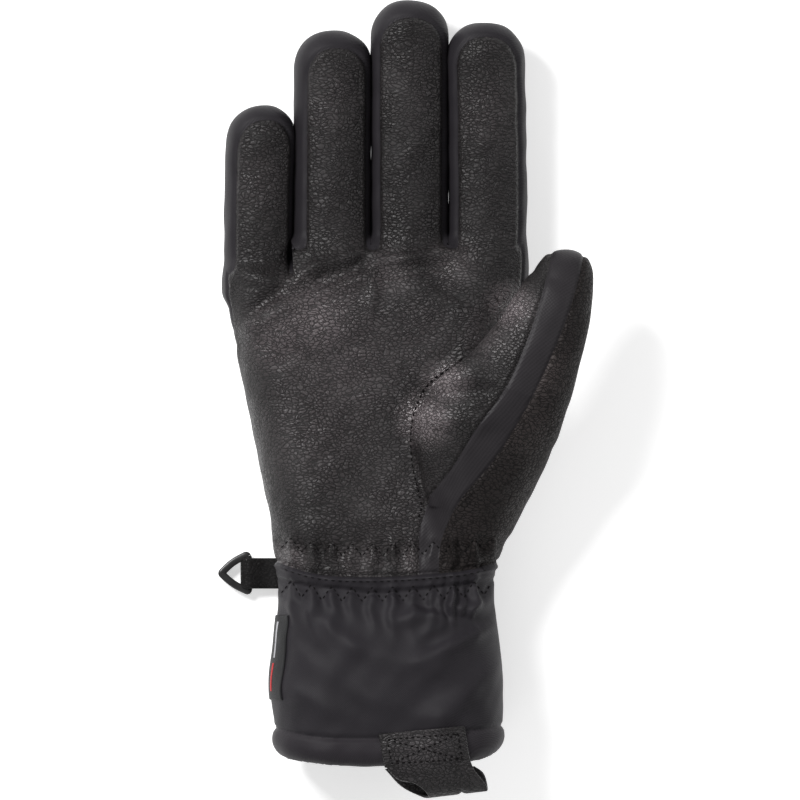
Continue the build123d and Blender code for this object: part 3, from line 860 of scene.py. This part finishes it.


# Painted highlights on the leather, paler patches where the key light would catch it: x, y, radius, how much
# paler.
PAINTED_HIGHLIGHTS_PALM = (
    (-38.0, 23.0, 22.0, 4.5), (-26.0, 30.0, 24.0, 5.5), (-18.0, 14.0, 42.0, 2.4), (2.0, 47.0, 13.0, 2.8),
    (26.0, 51.0, 13.0, 2.2), (-24.0, -12.0, 40.0, 1.6), (-4.0, -36.0, 36.0, 0.9), (14.5, -7.0, 15.0, 9.0),
    (22.0, 7.0, 13.0, 8.0), (46.5, 35.0, 13.0, 9.0), (38.0, 25.0, 16.0, 2.5), (-14.0, 40.0, 14.0, 2.2),
    (7.0, 118.0, 22.0, 0.5), (-22.0, 110.0, 20.0, 0.9), (37.0, 108.0, 20.0, 0.9), (-48.0, 80.0, 18.0, 0.9),
    (12.0, 22.0, 26.0, 1.4), (-36.0, -60.0, 10.0, 4.0), (-10.0, -60.0, 16.0, 1.5), (10.0, -60.0, 10.0, 2.5),
)
# painted highlights on the thumb's outer leather
PAINTED_HIGHLIGHTS_OUTER = ((56.0, 12.0, 18.0, 1.8), (50.0, -8.0, 20.0, 0.9))

MATERIALS = {
    "palm_leather": leather(
        "palm leather", (0.0005, 0.0004, 0.0004), (0.200, 0.174, 0.180), painted_highlights=PAINTED_HIGHLIGHTS_PALM
    ),
    "outer_leather": leather(
        "outer leather", (0.0005, 0.0004, 0.0004), (0.235, 0.195, 0.190), rough=(0.48, 0.68), shine=0.14,
        painted_highlights=PAINTED_HIGHLIGHTS_OUTER
    ),
    "softshell": softshell("softshell", (0.007, 0.006, 0.0075), (0.0215, 0.0195, 0.0225)),
    "cuff_fabric": softshell("cuff softshell", (0.007, 0.006, 0.0073), (0.0225, 0.0205, 0.024), period=0.5),
    "wipe_strip": softshell(
        "wipe strip", (0.009, 0.008, 0.009), (0.025, 0.0225, 0.025), 0.9, 0.05, 0.14, 0.45
    ),
    "binding": softshell("hem binding", (0.009, 0.0075, 0.009), (0.026, 0.023, 0.027), period=0.55),
    "fleece": fleece("fleece", (0.03, 0.03, 0.032)),
    "wadding": fleece("wadding", (0.02, 0.02, 0.021)),
    "membrane": plastic("membrane", (0.012, 0.0115, 0.0125), 0.6),
    "elastic": softshell("elastic", (0.01, 0.01, 0.01), (0.04, 0.04, 0.04), period=1.0, depth=0.15),
    "strap": leather(
        "strap", (0.0005, 0.0005, 0.0005), (0.115, 0.105, 0.107), cell=1.1, depth=0.12, shine=0.16
    ),
    "hook_loop": fleece("hook and loop", (0.02, 0.02, 0.021)),
    "ring_plastic": plastic("ring plastic", (0.012, 0.0115, 0.012), 0.33),
    "label": softshell("label", (0.006, 0.006, 0.006), (0.016, 0.016, 0.017), period=0.4),
    "label_pale": softshell("label pale", (0.2, 0.2, 0.21), (0.42, 0.42, 0.44), period=0.4),
    "label_red": softshell("label red", (0.25, 0.008, 0.01), (0.5, 0.02, 0.022), period=0.4),
    "pull_loop": leather(
        "pull loop leather", (0.0005, 0.0004, 0.0004), (0.28, 0.253, 0.264), cell=1.3, depth=0.25,
        # a painted highlight on the tab
        painted_highlights=((12.0, -129.0, 16.0, 1.2),)
    ),
    "thread": thread("thread", (0.006, 0.0052, 0.0055)),
}


# ---- Making pieces ----


def make_mesh(name, points, faces, material, normals=None, smooth=True):
    """A Blender object from points in millimetres."""
    mesh = bpy.data.meshes.new(name)
    mesh.from_pydata((np.asarray(points) * MM).tolist(), [], [list(map(int, f)) for f in faces])
    mesh.polygons.foreach_set("use_smooth", [smooth] * len(mesh.polygons))
    mesh.materials.append(MATERIALS[material])
    if normals is not None:
        mesh.normals_split_custom_set_from_vertices(normals.tolist())
    mesh.update()
    piece = bpy.data.objects.new(name, mesh)
    bpy.context.scene.collection.objects.link(piece)
    return piece


def blend_along(piece, a, b, start, end):
    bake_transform(piece)


def thumb_point(distance):
    y = THUMB_ROOT[1] + math.cos(THUMB_LEAN) * distance
    return THUMB_ROOT[0] + math.sin(THUMB_LEAN) * distance, y, float(thumb_z(y))


def make_skin():
    """Cuts the skin into its panels and folds, and makes a piece of each. Returns the whole surface."""
    skin = Skin()
    sides = skin.sides
    skin.cut("hand_side", wrist_field)
    skin.cut("above_hem", hem_field, ~sides["hand_side"])
    skin.cut("lining", lining_field, ~sides["hand_side"])
    skin.cut("cuff_back", lambda x, y, z: CUFF_SIDE_Z - z, ~sides["hand_side"] & sides["above_hem"])
    skin.cut("thumb", thumb_field, sides["hand_side"])
    skin.cut("finger", web_field, sides["hand_side"] & ~sides["thumb"])
    skin.cut("distal", middle_field, sides["finger"])
    skin.cut("fabric", fabric_field, sides["hand_side"] & ~sides["thumb"])
    skin.cut("free_thumb", lambda x, y, z: thumb_axes(x, y)[0] - THUMB_START, sides["thumb"])
    skin.cut("thumb_tip", lambda x, y, z: thumb_axes(x, y)[0] - THUMB_CUT, sides["free_thumb"])
    skin.cut("thumb_back", side_field, sides["thumb"] & ~sides["free_thumb"])
    skin.cut("not_strip", strip_field, sides["thumb"] & ~sides["thumb_back"])
    skin.cut("outer", strip_middle_field, sides["thumb"] & sides["not_strip"] & ~sides["thumb_back"])

    triangles = skin.triangles
    middles = skin.points[triangles].mean(axis=1)
    keep = ~(sides["lining"] & (middles[:, 1] > HEM_END + MOUTH_DEPTH - 3.0))
    hand, thumb = np.zeros(len(skin.points), bool), np.zeros(len(skin.points), bool)
    hand[triangles[~sides["thumb"]]] = True
    thumb[triangles[sides["thumb"]]] = True
    finger = np.zeros(len(skin.points), bool)
    finger[triangles[sides["finger"]]] = True
    plain = vertex_normals(skin.points, triangles)
    points = skin.points + plain * relief(skin.points, plain, hand, thumb)[:, None]
    points = swelled(points, finger)
    normals = vertex_normals(points, triangles)

    def piece(name, chosen, material, *nodes):
        chosen = chosen & keep
        used, index = np.unique(triangles[chosen], return_inverse=True)
        made = make_mesh(name, points[used], index.reshape(-1, 3), material, normals[used])
        if nodes:
            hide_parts(*nodes)
        return made

    s = sides
    cuff = ~s["hand_side"] & s["above_hem"] & ~s["lining"]
    front = piece("cuff_front", cuff & ~s["cuff_back"], "cuff_fabric", "cuff_front_shell", "wrist_front_shell")
    back = piece("cuff_back", cuff & s["cuff_back"], "cuff_fabric", "cuff_back_shell")
    for part in (front, back):
        blend_along(part, "hand", "cuff", *WRIST_BLEND)
    hem = ~s["hand_side"] & ~s["above_hem"] & ~s["lining"]
    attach(piece("hem_roll", hem, "binding", "hem_binding"), "cuff")
    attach(piece("hem_lining", ~s["hand_side"] & s["lining"], "fleece"), "cuff")

    palm = s["hand_side"] & ~s["thumb"] & ~s["finger"]
    thumb_base = s["thumb"] & ~s["free_thumb"]
    panels = {
        "palm": (palm & ~s["fabric"], "palm_leather", "palm_leather"),
        "back": (palm & s["fabric"] | thumb_base & s["thumb_back"], "softshell", "back_shell"),
        "thumb_gusset": (thumb_base & ~s["thumb_back"] & s["not_strip"] & ~s["outer"], "palm_leather", None),
        "thumb_ball": (thumb_base & s["outer"], "outer_leather", "thumb_ball_leather"),
        "lower_strip": (thumb_base & ~s["thumb_back"] & ~s["not_strip"], "wipe_strip", "palm_wipe_strip"),
    }
    for name, (chosen, material, node) in panels.items():
        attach(piece(name, chosen, material, *([node] if node else [])), "hand")

    number = finger_of(middles[:, 0])
    for n, (name, (x, _, _, root, middle, _)) in enumerate(FINGERS.items()):
        start = WEB_LITTLE if name == "little" else WEB_LONG
        folds = {
            "proximal": ("hand", start, 2 * root - start),
            "distal": (f"{name}_proximal", middle - FOLD_REACH, middle + FOLD_REACH),
        }
        for segment, (parent, low, high) in folds.items():
            here = s["finger"] & (number == n) & (s["distal"] == (segment == "distal"))
            for part, fabric, material in (("leather", False, "palm_leather"), ("fabric", True, "softshell")):
                node = f"{name}_{segment}_{part}"
                made = piece(f"{node}_skin", here & (s["fabric"] == fabric), material, node)
                blend_along(made, parent, f"{name}_{segment}", (x, low, 20), (x, high, 20))

    folds = {"root": ("hand", THUMB_START, THUMB_CUT), "tip": ("thumb_root", THUMB_CUT, THUMB_END)}
    for segment, (parent, low, high) in folds.items():
        here = s["free_thumb"] & (s["thumb_tip"] == (segment == "tip"))
        parts = {
            "wipe_strip": (here & ~s["not_strip"], "wipe_strip"),
            "front_leather": (here & s["not_strip"] & ~s["outer"], "palm_leather"),
            "outer_leather": (here & s["outer"], "outer_leather"),
        }
        for part, (chosen, material) in parts.items():
            node = f"thumb_{segment}_{part}"
            made = piece(f"{node}_skin", chosen, material, node)
            blend_along(made, parent, f"thumb_{segment}", thumb_point(low), thumb_point(high))
    return BVHTree.FromPolygons((points * MM).tolist(), triangles.tolist())


# ---- Sheets, bands and stitches ----


def edge_steps(length, edge, count):
    """Positions from 0 to 1, close together within edge of both ends."""
    near = [0.0, 0.12, 0.35, 0.7, 1.0]
    first = [edge * n / length for n in near]
    middle = np.linspace(first[-1], 1 - first[-1], count)[1:-1]
    return np.concatenate([first, middle, 1 - np.array(first[::-1])])


def sheet(name, grid, thickness, material):
    """A sheet of even thickness with rounded edges, from a grid of points on its middle surface."""
    grid = np.asarray(grid, float)
    along = np.gradient(grid, axis=0)
    across = np.gradient(grid, axis=1)
    normal = np.cross(along, across)
    normal /= np.maximum(np.linalg.norm(normal, axis=2), 1e-9)[..., None]
    steps = [np.linalg.norm(np.diff(grid, axis=axis), axis=2) for axis in (0, 1)]
    run = [
        np.concatenate([np.zeros_like(s.take([0], a)), np.cumsum(s, axis=a)], a) for a, s in enumerate(steps)
    ]
    ends = [np.minimum(r, r.take([-1], a) - r) for a, r in enumerate(run)]
    inward = np.clip(np.minimum(*ends) / (thickness / 2), 0, 1)
    half = thickness / 2 * np.maximum(np.sqrt(1 - (1 - inward) ** 2), 0.25)
    rows, cols = grid.shape[:2]
    lift = normal * half[..., None]
    points = np.concatenate([(grid + lift).reshape(-1, 3), (grid - lift).reshape(-1, 3)])
    index = np.arange(rows * cols).reshape(rows, cols)
    a, b, c, d = index[:-1, :-1], index[1:, :-1], index[1:, 1:], index[:-1, 1:]
    quads = np.stack([a, b, c, d], -1).reshape(-1, 4)
    rim = np.concatenate([index[0, :], index[1:, -1], index[-1, -2::-1], index[-2:0:-1, 0]])
    following = np.roll(rim, -1)
    low = rows * cols
    wall = np.stack([rim, following, following + low, rim + low], -1)
    faces = np.concatenate([quads, quads[:, ::-1] + low, wall])
    return make_mesh(name, points, faces, material)


def run_along(points):
    """How far along a row of points each one is."""
    return np.concatenate([[0], np.cumsum(np.linalg.norm(np.diff(points, axis=0), axis=1))])


def curve_through(points, count):
    """Points along a smooth curve, evenly numbered."""
    points = np.asarray(points, float)
    run = run_along(points)
    at = np.linspace(0, run[-1], count)
    return np.stack([smooth_curve(list(zip(run, column)))(at) for column in points.T], 1)


def drop(x, y, surface, lift=0.0):
    """The point of the surface under (x, y), lifted along its normal, and that normal."""
    hit = surface.ray_cast(Vector((x * MM, y * MM, 0.2)), Vector((0, 0, -1)))
    if hit[0] is None:
        return None
    normal = np.array(hit[1]) * (1 if hit[1].z >= 0 else -1)
    return np.array(hit[0]) / MM + normal * lift, normal


def stitches(name, path, surface, dash=2.2, gap=1.1, radius=0.26, height=0.16):
    """Stitches along a plan path, each sunk into the surface at both ends."""
    path = np.asarray(path, float)
    run = run_along(path)
    points, faces = [], []
    shares = np.linspace(0, 1, 6)
    angles = np.linspace(0, 2 * math.pi, 6, endpoint=False)
    start = 0.0
    while start + dash < run[-1]:
        rings = []
        for share in shares:
            at = start + dash * share
            x, y = (np.interp(at, run, path[:, n]) for n in (0, 1))
            hit = drop(x, y, surface)
            if hit is None:
                break
            bulge = math.sqrt(max(1 - (2 * share - 1) ** 2, 0))
            lift = height * bulge - radius * (1 - bulge)
            rings.append((hit[0] + hit[1] * lift, hit[1], 0.35 + 0.65 * bulge))
        start += dash + gap
        if len(rings) < len(shares):
            continue
        base = len(points)
        along = rings[-1][0] - rings[0][0]
        along /= max(np.linalg.norm(along), 1e-6)
        for centre, normal, size in rings:
            side = np.cross(along, normal)
            side /= max(np.linalg.norm(side), 1e-6)
            up = np.cross(side, along)
            for angle in angles:
                points.append(centre + radius * size * (math.cos(angle) * side + math.sin(angle) * up))
        sides = len(angles)
        for ring in range(len(rings) - 1):
            for n in range(sides):
                m = (n + 1) % sides
                a = base + ring * sides
                faces.append((a + n, a + m, a + sides + m, a + sides + n))
        faces.append(tuple(base + n for n in range(sides))[::-1])
        faces.append(tuple(base + (len(rings) - 1) * sides + n for n in range(sides)))
    return make_mesh(name, points, faces, "thread")


def zigzag(span, x_to):
    xs = np.arange(ZIGZAG_START, x_to, 0.4)
    return dense(np.stack([xs, zigzag_y(xs, span)], 1))


def dense(path, step=0.5):
    path = np.asarray(path, float)
    run = run_along(path)
    at = np.arange(0, run[-1], step)
    return np.stack([np.interp(at, run, path[:, n]) for n in (0, 1)], 1)


def make_seams(surface):
    gusset = [(float(gusset_x(y)) - 1.7, y) for y in np.arange(-44.0, 13.0, 0.5)]
    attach(stitches("gusset_stitches", gusset, surface, dash=1.5, gap=0.9, radius=0.3), "hand")
    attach(stitches("leather_zigzag", zigzag(LEATHER_ZIGZAG, 41.0), surface, 1.5, 0.7, 0.24), "hand")
    fabric = stitches("fabric_zigzag", zigzag(FABRIC_ZIGZAG, 39.5), surface, 1.5, 0.7, 0.24)
    wrist = [(x, float(wrist_seam_y(x)) - 1.6) for x in np.arange(-38.0, 40.0, 0.5)]
    top = stitches("wrist_stitches", wrist, surface, 1.6, 1.0, 0.2, 0.08)
    for row in (fabric, top):
        blend_along(row, "hand", "cuff", *WRIST_BLEND)


# ---- Label, pull loop, strap and ring ----

LABEL_SPAN, LABEL_ANGLES = (-80.6, -112.3), (-8.0, 36.0)
# The tab's corners, from its upper left round to its lower left.
TAB_CORNERS = ((-2.6, -124.8), (29.6, -121.8), (31.8, -135.6), (-0.2, -137.4))
# The pull loop's left and right edges, from under the tab round its fold to under the hem.
LOOP_LEFT = (
    (-0.8, -136.0, 50.6), (4.8, -141.8, 51.2), (11.0, -143.4, 50.6), (15.2, -146.6, 48.0),
    (16.0, -148.2, 45.2), (14.2, -148.3, 42.8), (6.6, -145.0, 41.4), (-0.2, -138.0, 42.4),
)
LOOP_RIGHT = (
    (31.4, -134.2, 50.4), (33.2, -138.0, 49.6), (35.8, -141.4, 48.4), (38.0, -144.6, 46.2),
    (38.3, -145.7, 44.6), (38.2, -144.2, 43.0), (36.6, -139.4, 42.6), (33.4, -137.0, 43.0),
)


def around_cuff(y, angle, surface, lift):
    """A point on the cuff's little-finger edge, at an angle above level."""
    radius = (float(body_top(y)) - float(body_bottom(y))) / 2
    centre = Vector((float(body_left(y)) + radius, y, float(body_top(y)) - radius)) * MM
    out = Vector((-math.cos(math.radians(angle)), 0, math.sin(math.radians(angle))))
    hit = surface.ray_cast(centre + out * 0.05, -out)
    return np.array(hit[0] + out * lift * MM) / MM


def cuff_patch(name, y_span, angles, surface, lift, thickness, material):
    rows = edge_steps(abs(y_span[1] - y_span[0]), thickness, 30)
    cols = edge_steps(18.0 * abs(angles[1] - angles[0]) / 44.0, thickness, 10)
    grid = [
        [
            around_cuff(
                y_span[0] + (y_span[1] - y_span[0]) * v, angles[0] + (angles[1] - angles[0]) * u, surface, lift
            )
            for u in cols
        ]
        for v in rows
    ]
    return sheet(name, np.array(grid), thickness, material)


def make_label(surface):
    label = cuff_patch("label", LABEL_SPAN, LABEL_ANGLES, surface, 0.25, 0.8, "label")
    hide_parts("side_label")
    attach(label, "cuff")
    for name, span, material in (
        ("label_pale_stripe", (-83.0, -96.5), "label_pale"),
        ("label_red_stripe", (-98.5, -109.0), "label_red"),
    ):
        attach(cuff_patch(name, span, (15.2, 18.6), surface, 0.66, 0.16, material), "cuff")


def tab_point(u, v):
    a, b, c, d = (np.array(corner) for corner in TAB_CORNERS)
    return (a * (1 - u) + b * u) * (1 - v) + (d * (1 - u) + c * u) * v


def make_pull_loop(surface):
    """The tab on the hem, and the loop that its leather goes on to make."""
    columns_at, rows_at = edge_steps(31.0, 0.7, 30), edge_steps(13.0, 0.7, 14)
    grid = np.zeros((len(rows_at), len(columns_at), 3))
    for i, v in enumerate(rows_at):
        for j, u in enumerate(columns_at):
            x, y = tab_point(u, v)
            hit = drop(x, max(y, HEM_END + 4.5), surface, 0.0)[0]
            grid[i, j] = x, y, hit[2]
    for _ in range(3):  # the leather bridges the groove of the hem's seam
        height = grid[:, :, 2]
        height[1:-1] = np.maximum(height[1:-1], (height[:-2] + height[2:]) / 2)
        height[1:-1] = 0.5 * height[1:-1] + 0.25 * (height[:-2] + height[2:])
    grid[:, :, 2] += 0.75
    tab_grid = grid
    tab = sheet("pull_tab", tab_grid, 1.3, "pull_loop")
    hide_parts("pull_loop_tab")
    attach(tab, "cuff")
    corners = [tuple(v.co) for v in tab.data.vertices]
    top = BVHTree.FromPolygons(corners, [tuple(p.vertices) for p in tab.data.polygons])
    inset_u, inset_v = 0.09, 0.19
    low_u, high_u, low_v, high_v = inset_u, 1 - inset_u, inset_v, 1 - inset_v * 0.6
    corners = [(low_u, low_v), (high_u, low_v), (high_u, high_v), (low_u, high_v), (low_u, low_v)]
    rows = [[tab_point(*c) for c in corners]]
    rows.append([tab_point(low_u, low_v), tab_point(high_u, high_v)])
    rows.append([tab_point(high_u, low_v), tab_point(low_u, high_v)])
    for n, row in enumerate(rows):
        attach(stitches(f"tab_stitches_{n}", dense(row), top, 1.3, 0.9, 0.27), "cuff")

    left, right = curve_through(LOOP_LEFT, 56), curve_through(LOOP_RIGHT, 56)
    share = edge_steps(30.0, 0.7, 34)
    grid = left[:, None] * (1 - share)[None, :, None] + right[:, None] * share[None, :, None]
    # the upper leather sags between its edges, and its fold has a crease in it
    down = np.linspace(0, 1, 56)[:, None]
    grid[:, :, 2] -= 0.9 * np.sin(math.pi * share)[None] * bump(down - 0.25, 0.2)
    crease = bump((share - 0.58)[None] * 30, 1.1) * bump(down - 0.55, 0.07)
    grid[:, :, 1] += 1.1 * crease
    grid[:, :, 2] -= 0.6 * crease
    # it leaves the tab in the tab's own curve
    joined = np.interp(share, columns_at, tab_grid[-6, :, 2]) - 0.06
    grid[:, :, 2] += (joined - grid[0, :, 2])[None] * bump(down, 0.12)
    loop = sheet("pull_loop_leather", grid[:, ::-1], 1.2, "pull_loop")
    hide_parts("pull_loop")
    blend_along(loop, "cuff", "pull_loop", (17.5, -136.8, 45.5), (17.5, -143.0, 45.5))


# Ring: corners of the middle of its bar, round from the apex, and half the bar's width and height.
RING_CORNERS = ((-62.0, -65.15), (-52.1, -58.0), (-51.4, -59.6), (-51.4, -70.6), (-51.6, -72.1))
RING_BAR = (1.42, 1.4)
RING_Z = 3.55


def toward(here, there, reach):
    """The point at some reach from here, on the way there."""
    return here + (there - here) / np.linalg.norm(there - here) * reach


def make_ring():
    """The triangular plastic ring: a flat bar with rounded edges, following a rounded outline."""
    corners = np.array(RING_CORNERS)
    line = []
    for n in range(len(corners)):
        before, here, after = corners[n - 1], corners[n], corners[(n + 1) % len(corners)]
        reach = 0.9 if n in (2, 3) else 1.3
        start, end = (
            toward(here, other, min(reach, np.linalg.norm(other - here) / 2)) for other in (before, after)
        )
        for t in np.linspace(0, 1, 7):
            line.append((1 - t) ** 2 * start + 2 * t * (1 - t) * here + t**2 * end)
        bulge = 0.55 if n in (0, 4) else 0.0  # the two arms bow outwards
        leave = toward(after, here, 0.9 if n in (1, 2) else 1.3)
        outward = np.array([-(leave - end)[1], (leave - end)[0]])
        outward /= max(np.linalg.norm(outward), 1e-6)
        for t in np.linspace(0, 1, 12)[1:-1]:
            line.append(end + (leave - end) * t + outward * bulge * math.sin(math.pi * t))
    line = np.array(line)
    along = np.roll(line, -1, 0) - np.roll(line, 1, 0)
    along /= np.linalg.norm(along, axis=1)[:, None]
    side = np.stack([along[:, 1], -along[:, 0]], 1)
    angles = np.linspace(0, 2 * math.pi, 20, endpoint=False)
    cos, sin = np.cos(angles), np.sin(angles)
    across = np.sign(cos) * np.abs(cos) ** 0.5 * RING_BAR[0]
    up = np.sign(sin) * np.abs(sin) ** 0.5 * RING_BAR[1]
    rings = np.zeros((len(line), len(angles), 3))
    rings[:, :, :2] = line[:, None] + side[:, None] * across[None, :, None]
    rings[:, :, 2] = RING_Z + up[None]
    rows, cols = rings.shape[:2]
    index = np.arange(rows * cols).reshape(rows, cols)
    following = np.roll(index, -1, 0)
    faces = np.stack([index, np.roll(index, -1, 1), np.roll(following, -1, 1), following], -1)
    ring = make_mesh("ring", rings.reshape(-1, 3), faces.reshape(-1, 4), "ring_plastic")
    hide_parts("strap_ring")
    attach(ring, "strap_ring")


STRAP_EDGES = (-59.4, -70.9)
# The strap's middle line, x and z: from its sewn end, round the ring's bar and back.
STRAP_LINE = (
    (24.0, 3.55), (0.0, 3.5), (-30.0, 3.4), (-40.0, 3.2), (-46.0, 2.5), (-50.0, 1.45), (-51.6, 1.25),
    (-53.1, 1.95), (-53.75, 3.4), (-53.3, 4.9), (-51.8, 5.85), (-49.8, 5.75), (-45.5, 5.0), (-39.5, 5.0),
)


def make_strap():
    line = curve_through([(x, 0.0, z) for x, z in STRAP_LINE], 110)
    share = edge_steps(11.5, 0.7, 12)
    grid = np.repeat(line[:, None], len(share), axis=1)
    grid[:, :, 1] = STRAP_EDGES[0] + (STRAP_EDGES[1] - STRAP_EDGES[0]) * share[None]
    strap = sheet("strap_leather", grid, 1.4, "strap")
    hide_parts("wrist_strap")
    blend_along(strap, "hand", "wrist_strap", (26.0, -65.1, 3.55), (17.0, -65.1, 3.55))


surface = make_skin()
make_seams(surface)
make_label(surface)
make_pull_loop(surface)
make_ring()
make_strap()

# ---- Floor, light and camera ----


def make_stage():
    """A plain pale floor, a soft key light from the upper left and a wide fill."""
    bpy.ops.mesh.primitive_plane_add(size=6.0)
    floor = bpy.context.object
    floor.name = "floor"
    glow = {"Emission_Color": (1, 1, 1, 1), "Emission_Strength": 0.5}
    floor.data.materials.append(
        Nodes("floor").finish((0.9, 0.9, 0.9, 1.0), 0.9, Specular_IOR_Level=0.0, **glow)
    )
    world = bpy.data.worlds.new("studio")
    world.use_nodes = True
    background = world.node_tree.nodes["Background"].inputs
    background["Color"].default_value = (1, 1, 1, 1)
    background["Strength"].default_value = 0.28
    bpy.context.scene.world = world
    lights = (
        ("key", (-0.50, 0.46, 0.8), 0.32, 11.5),
        ("right", (0.75, 0.2, 0.7), 0.6, 2.0),
        ("low", (-0.2, -0.8, 0.7), 0.6, 1.5),
    )
    for name, place, size, power in lights:
        light = bpy.data.lights.new(name, "AREA")
        light.shape = "SQUARE"
        light.size, light.energy = size, power
        lamp = bpy.data.objects.new(name, light)
        lamp.location = place
        lamp.rotation_euler = (-Vector(place)).to_track_quat("-Z", "Y").to_euler()
        bpy.context.scene.collection.objects.link(lamp)


CAMERA_HEIGHT, VIEW_SIDE = 8000.0, 300.0
VIEW_CENTRE = (5.5, 0.0, 22.0)


def make_camera():
    """Straight down on the palm, with the fingertips up."""
    data = bpy.data.cameras.new("camera")
    data.sensor_width = 36.0
    data.lens = data.sensor_width * CAMERA_HEIGHT / VIEW_SIDE
    data.clip_start, data.clip_end = 0.05, 30.0
    camera = bpy.data.objects.new("camera", data)
    camera.location = [v * MM for v in VIEW_CENTRE[:2]] + [(CAMERA_HEIGHT + VIEW_CENTRE[2]) * MM]
    bpy.context.scene.collection.objects.link(camera)
    bpy.context.scene.camera = camera


make_stage()
make_camera()
bpy.context.scene.view_settings.view_transform = "Standard"

for node, piece in frame["nodes"].items():
    entry = next(e for e in frame["record"]["subparts"] if e["node"] == node)
    piece.data.materials.clear()
    piece.data.materials.append(MATERIALS[entry["material_slot"]])
